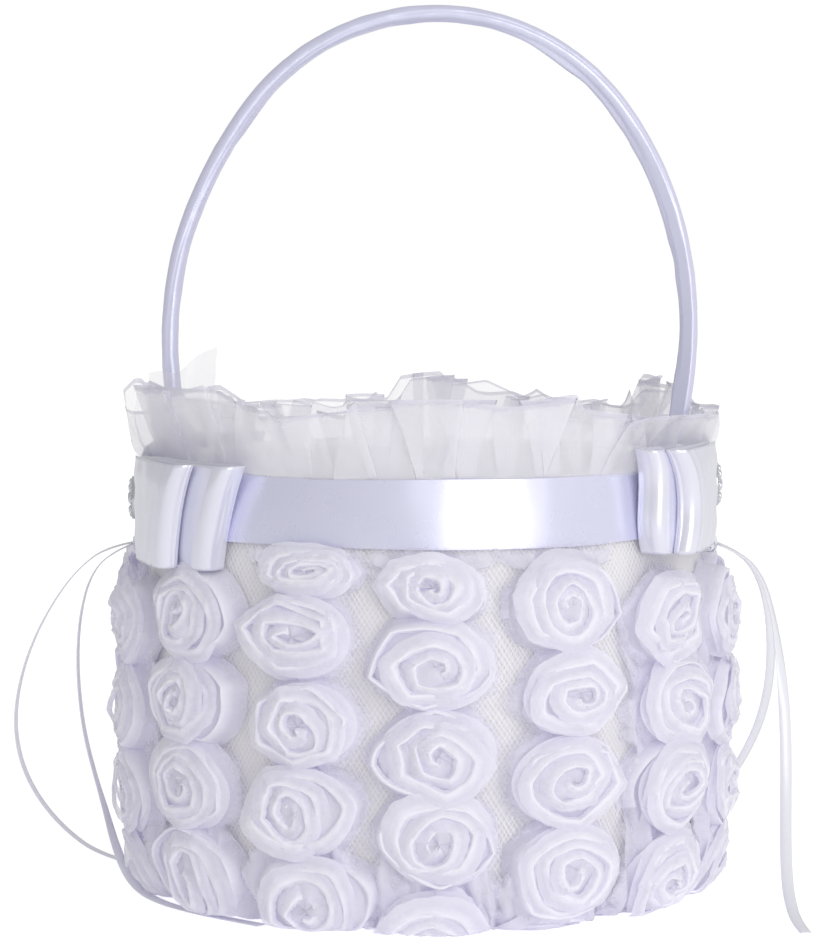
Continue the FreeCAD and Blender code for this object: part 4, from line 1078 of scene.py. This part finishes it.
# Each tail's real length, its route and, at shares of its length, the way that its width points.
TAILS = {
    "tail_left_outer": (
        117.0,
        (
            (-KNOT_FACE, 2.2, 87.4), (-81.5, 3.0, 86.0), (-89.0, 4.5, 80.0), (-95.0, 6.0, 72.0),
            (-100.5, 8.5, 62.0), (-104.5, 11.5, 51.0), (-106.5, 15.0, 39.5), (-105.5, 18.5, 28.5),
            (-101.5, 21.5, 18.5), (-94.5, 23.5, 9.4), (-85.5, 24.0, 2.6), (-76.0, 22.5, 0.5),
        ),
        ((0.0, (0, 1, 0)), (0.5, (0.15, 1, 0.1)), (1.0, (0.1, 1, 0))),
    ),
    "tail_left_inner": (
        152.0,
        (
            (-KNOT_FACE, -2.2, 87.4), (-80.5, -2.3, 84.8), (-85.2, -1.8, 78.6), (-87.6, -0.8, 69.5),
            (-88.6, 0.6, 59.5), (-88.4, 1.8, 49.0), (-87.2, 2.4, 38.5), (-84.8, 2.4, 28.5),
            (-81.8, 0.8, 19.0), (-79.0, -3.6, 10.6), (-75.4, -10.6, 4.2), (-70.8, -19.2, 1.2),
            (-64.8, -28.4, 0.4), (-57.4, -37.6, 0.4), (-48.6, -46.4, 0.4), (-39.6, -54.0, 0.4),
        ),
        ((0.0, (0, 1, 0)), (0.45, (0.2, 1, 0)), (0.7, (1, 0.5, 0)), (1.0, (0.7, 0.8, 0))),
    ),
    "tail_right_long": (
        127.0,
        (
            (KNOT_FACE, -2.2, 87.4), (80.6, -2.4, 85.0), (85.6, -2.6, 79.0), (88.2, -3.2, 70.0),
            (89.8, -4.2, 60.0), (90.8, -5.8, 49.5), (91.2, -8.2, 39.0), (91.0, -12.0, 29.0),
            (90.4, -17.4, 20.0), (89.8, -24.6, 12.0), (89.4, -33.6, 5.4), (89.6, -43.6, 1.6),
            (90.2, -54.0, 0.4), (90.9, -62.0, 0.4),
        ),
        ((0.0, (0.1, 1, 0)), (0.2, (0.5, 1, 0)), (0.38, (1, 0.2, 0)), (1.0, (1, 0, 0))),
    ),
    "tail_right_curl": (
        143.0,
        (
            (KNOT_FACE, 2.2, 87.4), (80.4, 2.4, 84.8), (85.2, 3.0, 78.6), (87.8, 4.2, 69.6),
            (88.8, 6.2, 59.6), (88.6, 9.6, 49.8), (87.2, 14.6, 40.8), (85.0, 21.2, 32.8),
            (82.2, 29.0, 25.2), (78.6, 37.4, 17.6), (73.8, 46.0, 10.8), (67.2, 54.0, 5.0),
            (58.8, 60.8, 1.6), (49.6, 66.4, 0.4), (41.6, 70.6, 0.4),
        ),
        ((0.0, (0.1, 1, 0)), (0.25, (1, 0.8, 0)), (0.6, (1, 0.4, 0)), (1.0, (0.5, 0.9, 0))),
    ),
}


def spline_points(name, route):
    """Points in millimetres along a smooth spline that is led by the route."""
    data = bpy.data.curves.new(name + "_line", "CURVE")
    data.dimensions = "3D"
    data.resolution_u = 8
    spline = data.splines.new("NURBS")
    spline.points.add(len(route) - 1)
    for point, place in zip(spline.points, route):
        point.co = (*[c * MM for c in place], 1)
    spline.order_u = 3
    spline.use_endpoint_u = True
    guide = bpy.data.objects.new(name + "_line", data)
    line = bpy.data.meshes.new_from_object(guide)
    points = np.array([v.co for v in line.vertices]) / MM
    bpy.data.objects.remove(guide)
    return points


def build_tail(name, real_length, route, ways):
    """A narrow ribbon along its route, crowned on both faces, with cut ends."""
    line = spline_points(name, route)
    step, run = headings(line), run_along(line)
    marks, ways = zip(*ways)
    wide = together(*[np.interp(run / run[-1], marks, parts) for parts in zip(*ways)])
    wide -= (wide * step).sum(axis=1)[:, None] * step
    wide /= np.linalg.norm(wide, axis=1)[:, None]
    face = np.cross(step, wide)
    half, wall = TAIL_WIDTH / 2, TAIL_WALL / 2
    edge, crown = half * 0.93, wall * 1.15
    upper = np.array([(-half, 0), (-edge, wall), (0, crown), (edge, wall)])
    section = np.concatenate([upper, -upper])
    rings = np.stack([line + wide * across + face * out for across, out in section], axis=1)
    ends = np.array([[0, 1, 2, 7], [2, 3, 6, 7], [3, 4, 5, 6]])
    last = (len(line) - 1) * len(section)
    faces = np.concatenate([grid_faces(*rings.shape[:2], True), ends[:, ::-1], ends + last])
    ribbon = Patches(rings, together(run[:, None], section[:, 0]), faces=faces)
    tail = piece(name + "_ribbon", "narrow_ribbon", name, ribbon)


# ---- stage

FLOOR_GLOW, FLOOR_GLOW_SEEN = 0.18, 0.36  # for every ray, and added to it for the camera
ROOM_LIGHT = (0.45, 0.72)  # at the left and at the right of the basket


def build_floor():
    """A plain pale floor that meets the background without a line."""
    bpy.ops.mesh.primitive_plane_add(size=8.0, location=(0, 0, 0))
    floor = bpy.context.object
    floor.name = "floor"
    look = Look("floor_paper", (0.93, 0.93, 0.93), 0.95)
    look.mottle(0.01, 4.0)
    seen = look.add("LightPath").outputs["Is Camera Ray"]
    glow = look.math("MULTIPLY_ADD", seen, FLOOR_GLOW_SEEN, FLOOR_GLOW)
    look.glow((1, 1, 1), glow)
    floor.data.materials.append(look.material)


def build_room():
    """A white background and soft light from all round, stronger from the right."""
    world = bpy.data.worlds.new("studio")
    world.use_nodes = True
    room = Nodes(world.node_tree)
    toward = room.add("SeparateXYZ", Vector=room.add("TexCoord").outputs["Generated"]).outputs["X"]
    light = room.add("MapRange", Value=toward, From_Min=-1.0, To_Min=ROOM_LIGHT[0], To_Max=ROOM_LIGHT[1])
    seen = room.add("LightPath").outputs["Is Camera Ray"]
    strength = room.add("Mix", Factor=seen, A=light.outputs["Result"], B=1.0).outputs["Result"]
    room.fill(room.tree.nodes["Background"], Color=(1, 1, 1, 1), Strength=strength)
    bpy.context.scene.world = world


def look_from(name, data, place, back):
    """An object at a place that looks the way opposite to back."""
    obj = bpy.data.objects.new(name, data)
    obj.location = place
    obj.rotation_euler = back.to_track_quat("Z", "Y").to_euler()
    bpy.context.scene.collection.objects.link(obj)
    return obj


def build_softbox():
    """The key light, in front of the basket and a little to its right."""
    light = bpy.data.lights.new("key_softbox", "AREA")
    light.shape = "RECTANGLE"
    light.size, light.size_y = 0.82, 1.0
    light.energy = 5.0
    turn, tilt, distance = radians(25), radians(14), 1.25
    back = Vector((sin(turn) * cos(tilt), -cos(turn) * cos(tilt), sin(tilt))) * distance
    look_from("key_softbox", light, Vector((0, 0, 0.1)) + back, back)


def build_camera():
    data = bpy.data.cameras.new("camera")
    data.sensor_width, data.lens, data.clip_start = 36.0, 136.8, 0.01
    place, aim = Vector((0.0, -0.9, 0.18)), Vector((-0.0047, 0.0, 0.1064))
    scene = bpy.context.scene
    scene.camera = look_from("camera", data, place, place - aim)
    scene.view_settings.view_transform = "Standard"
    scene.cycles.diffuse_bounces = 9
    scene.cycles.transparent_max_bounces = 24


build_cover()
build_net()
build_lining()
build_floor_pad()
build_rosettes()
build_ruffles()
build_band()
build_handle()
build_bows()
for tail_name, tail_facts in TAILS.items():
    build_tail(tail_name, *tail_facts)
build_floor()
build_room()
build_softbox()
build_camera()
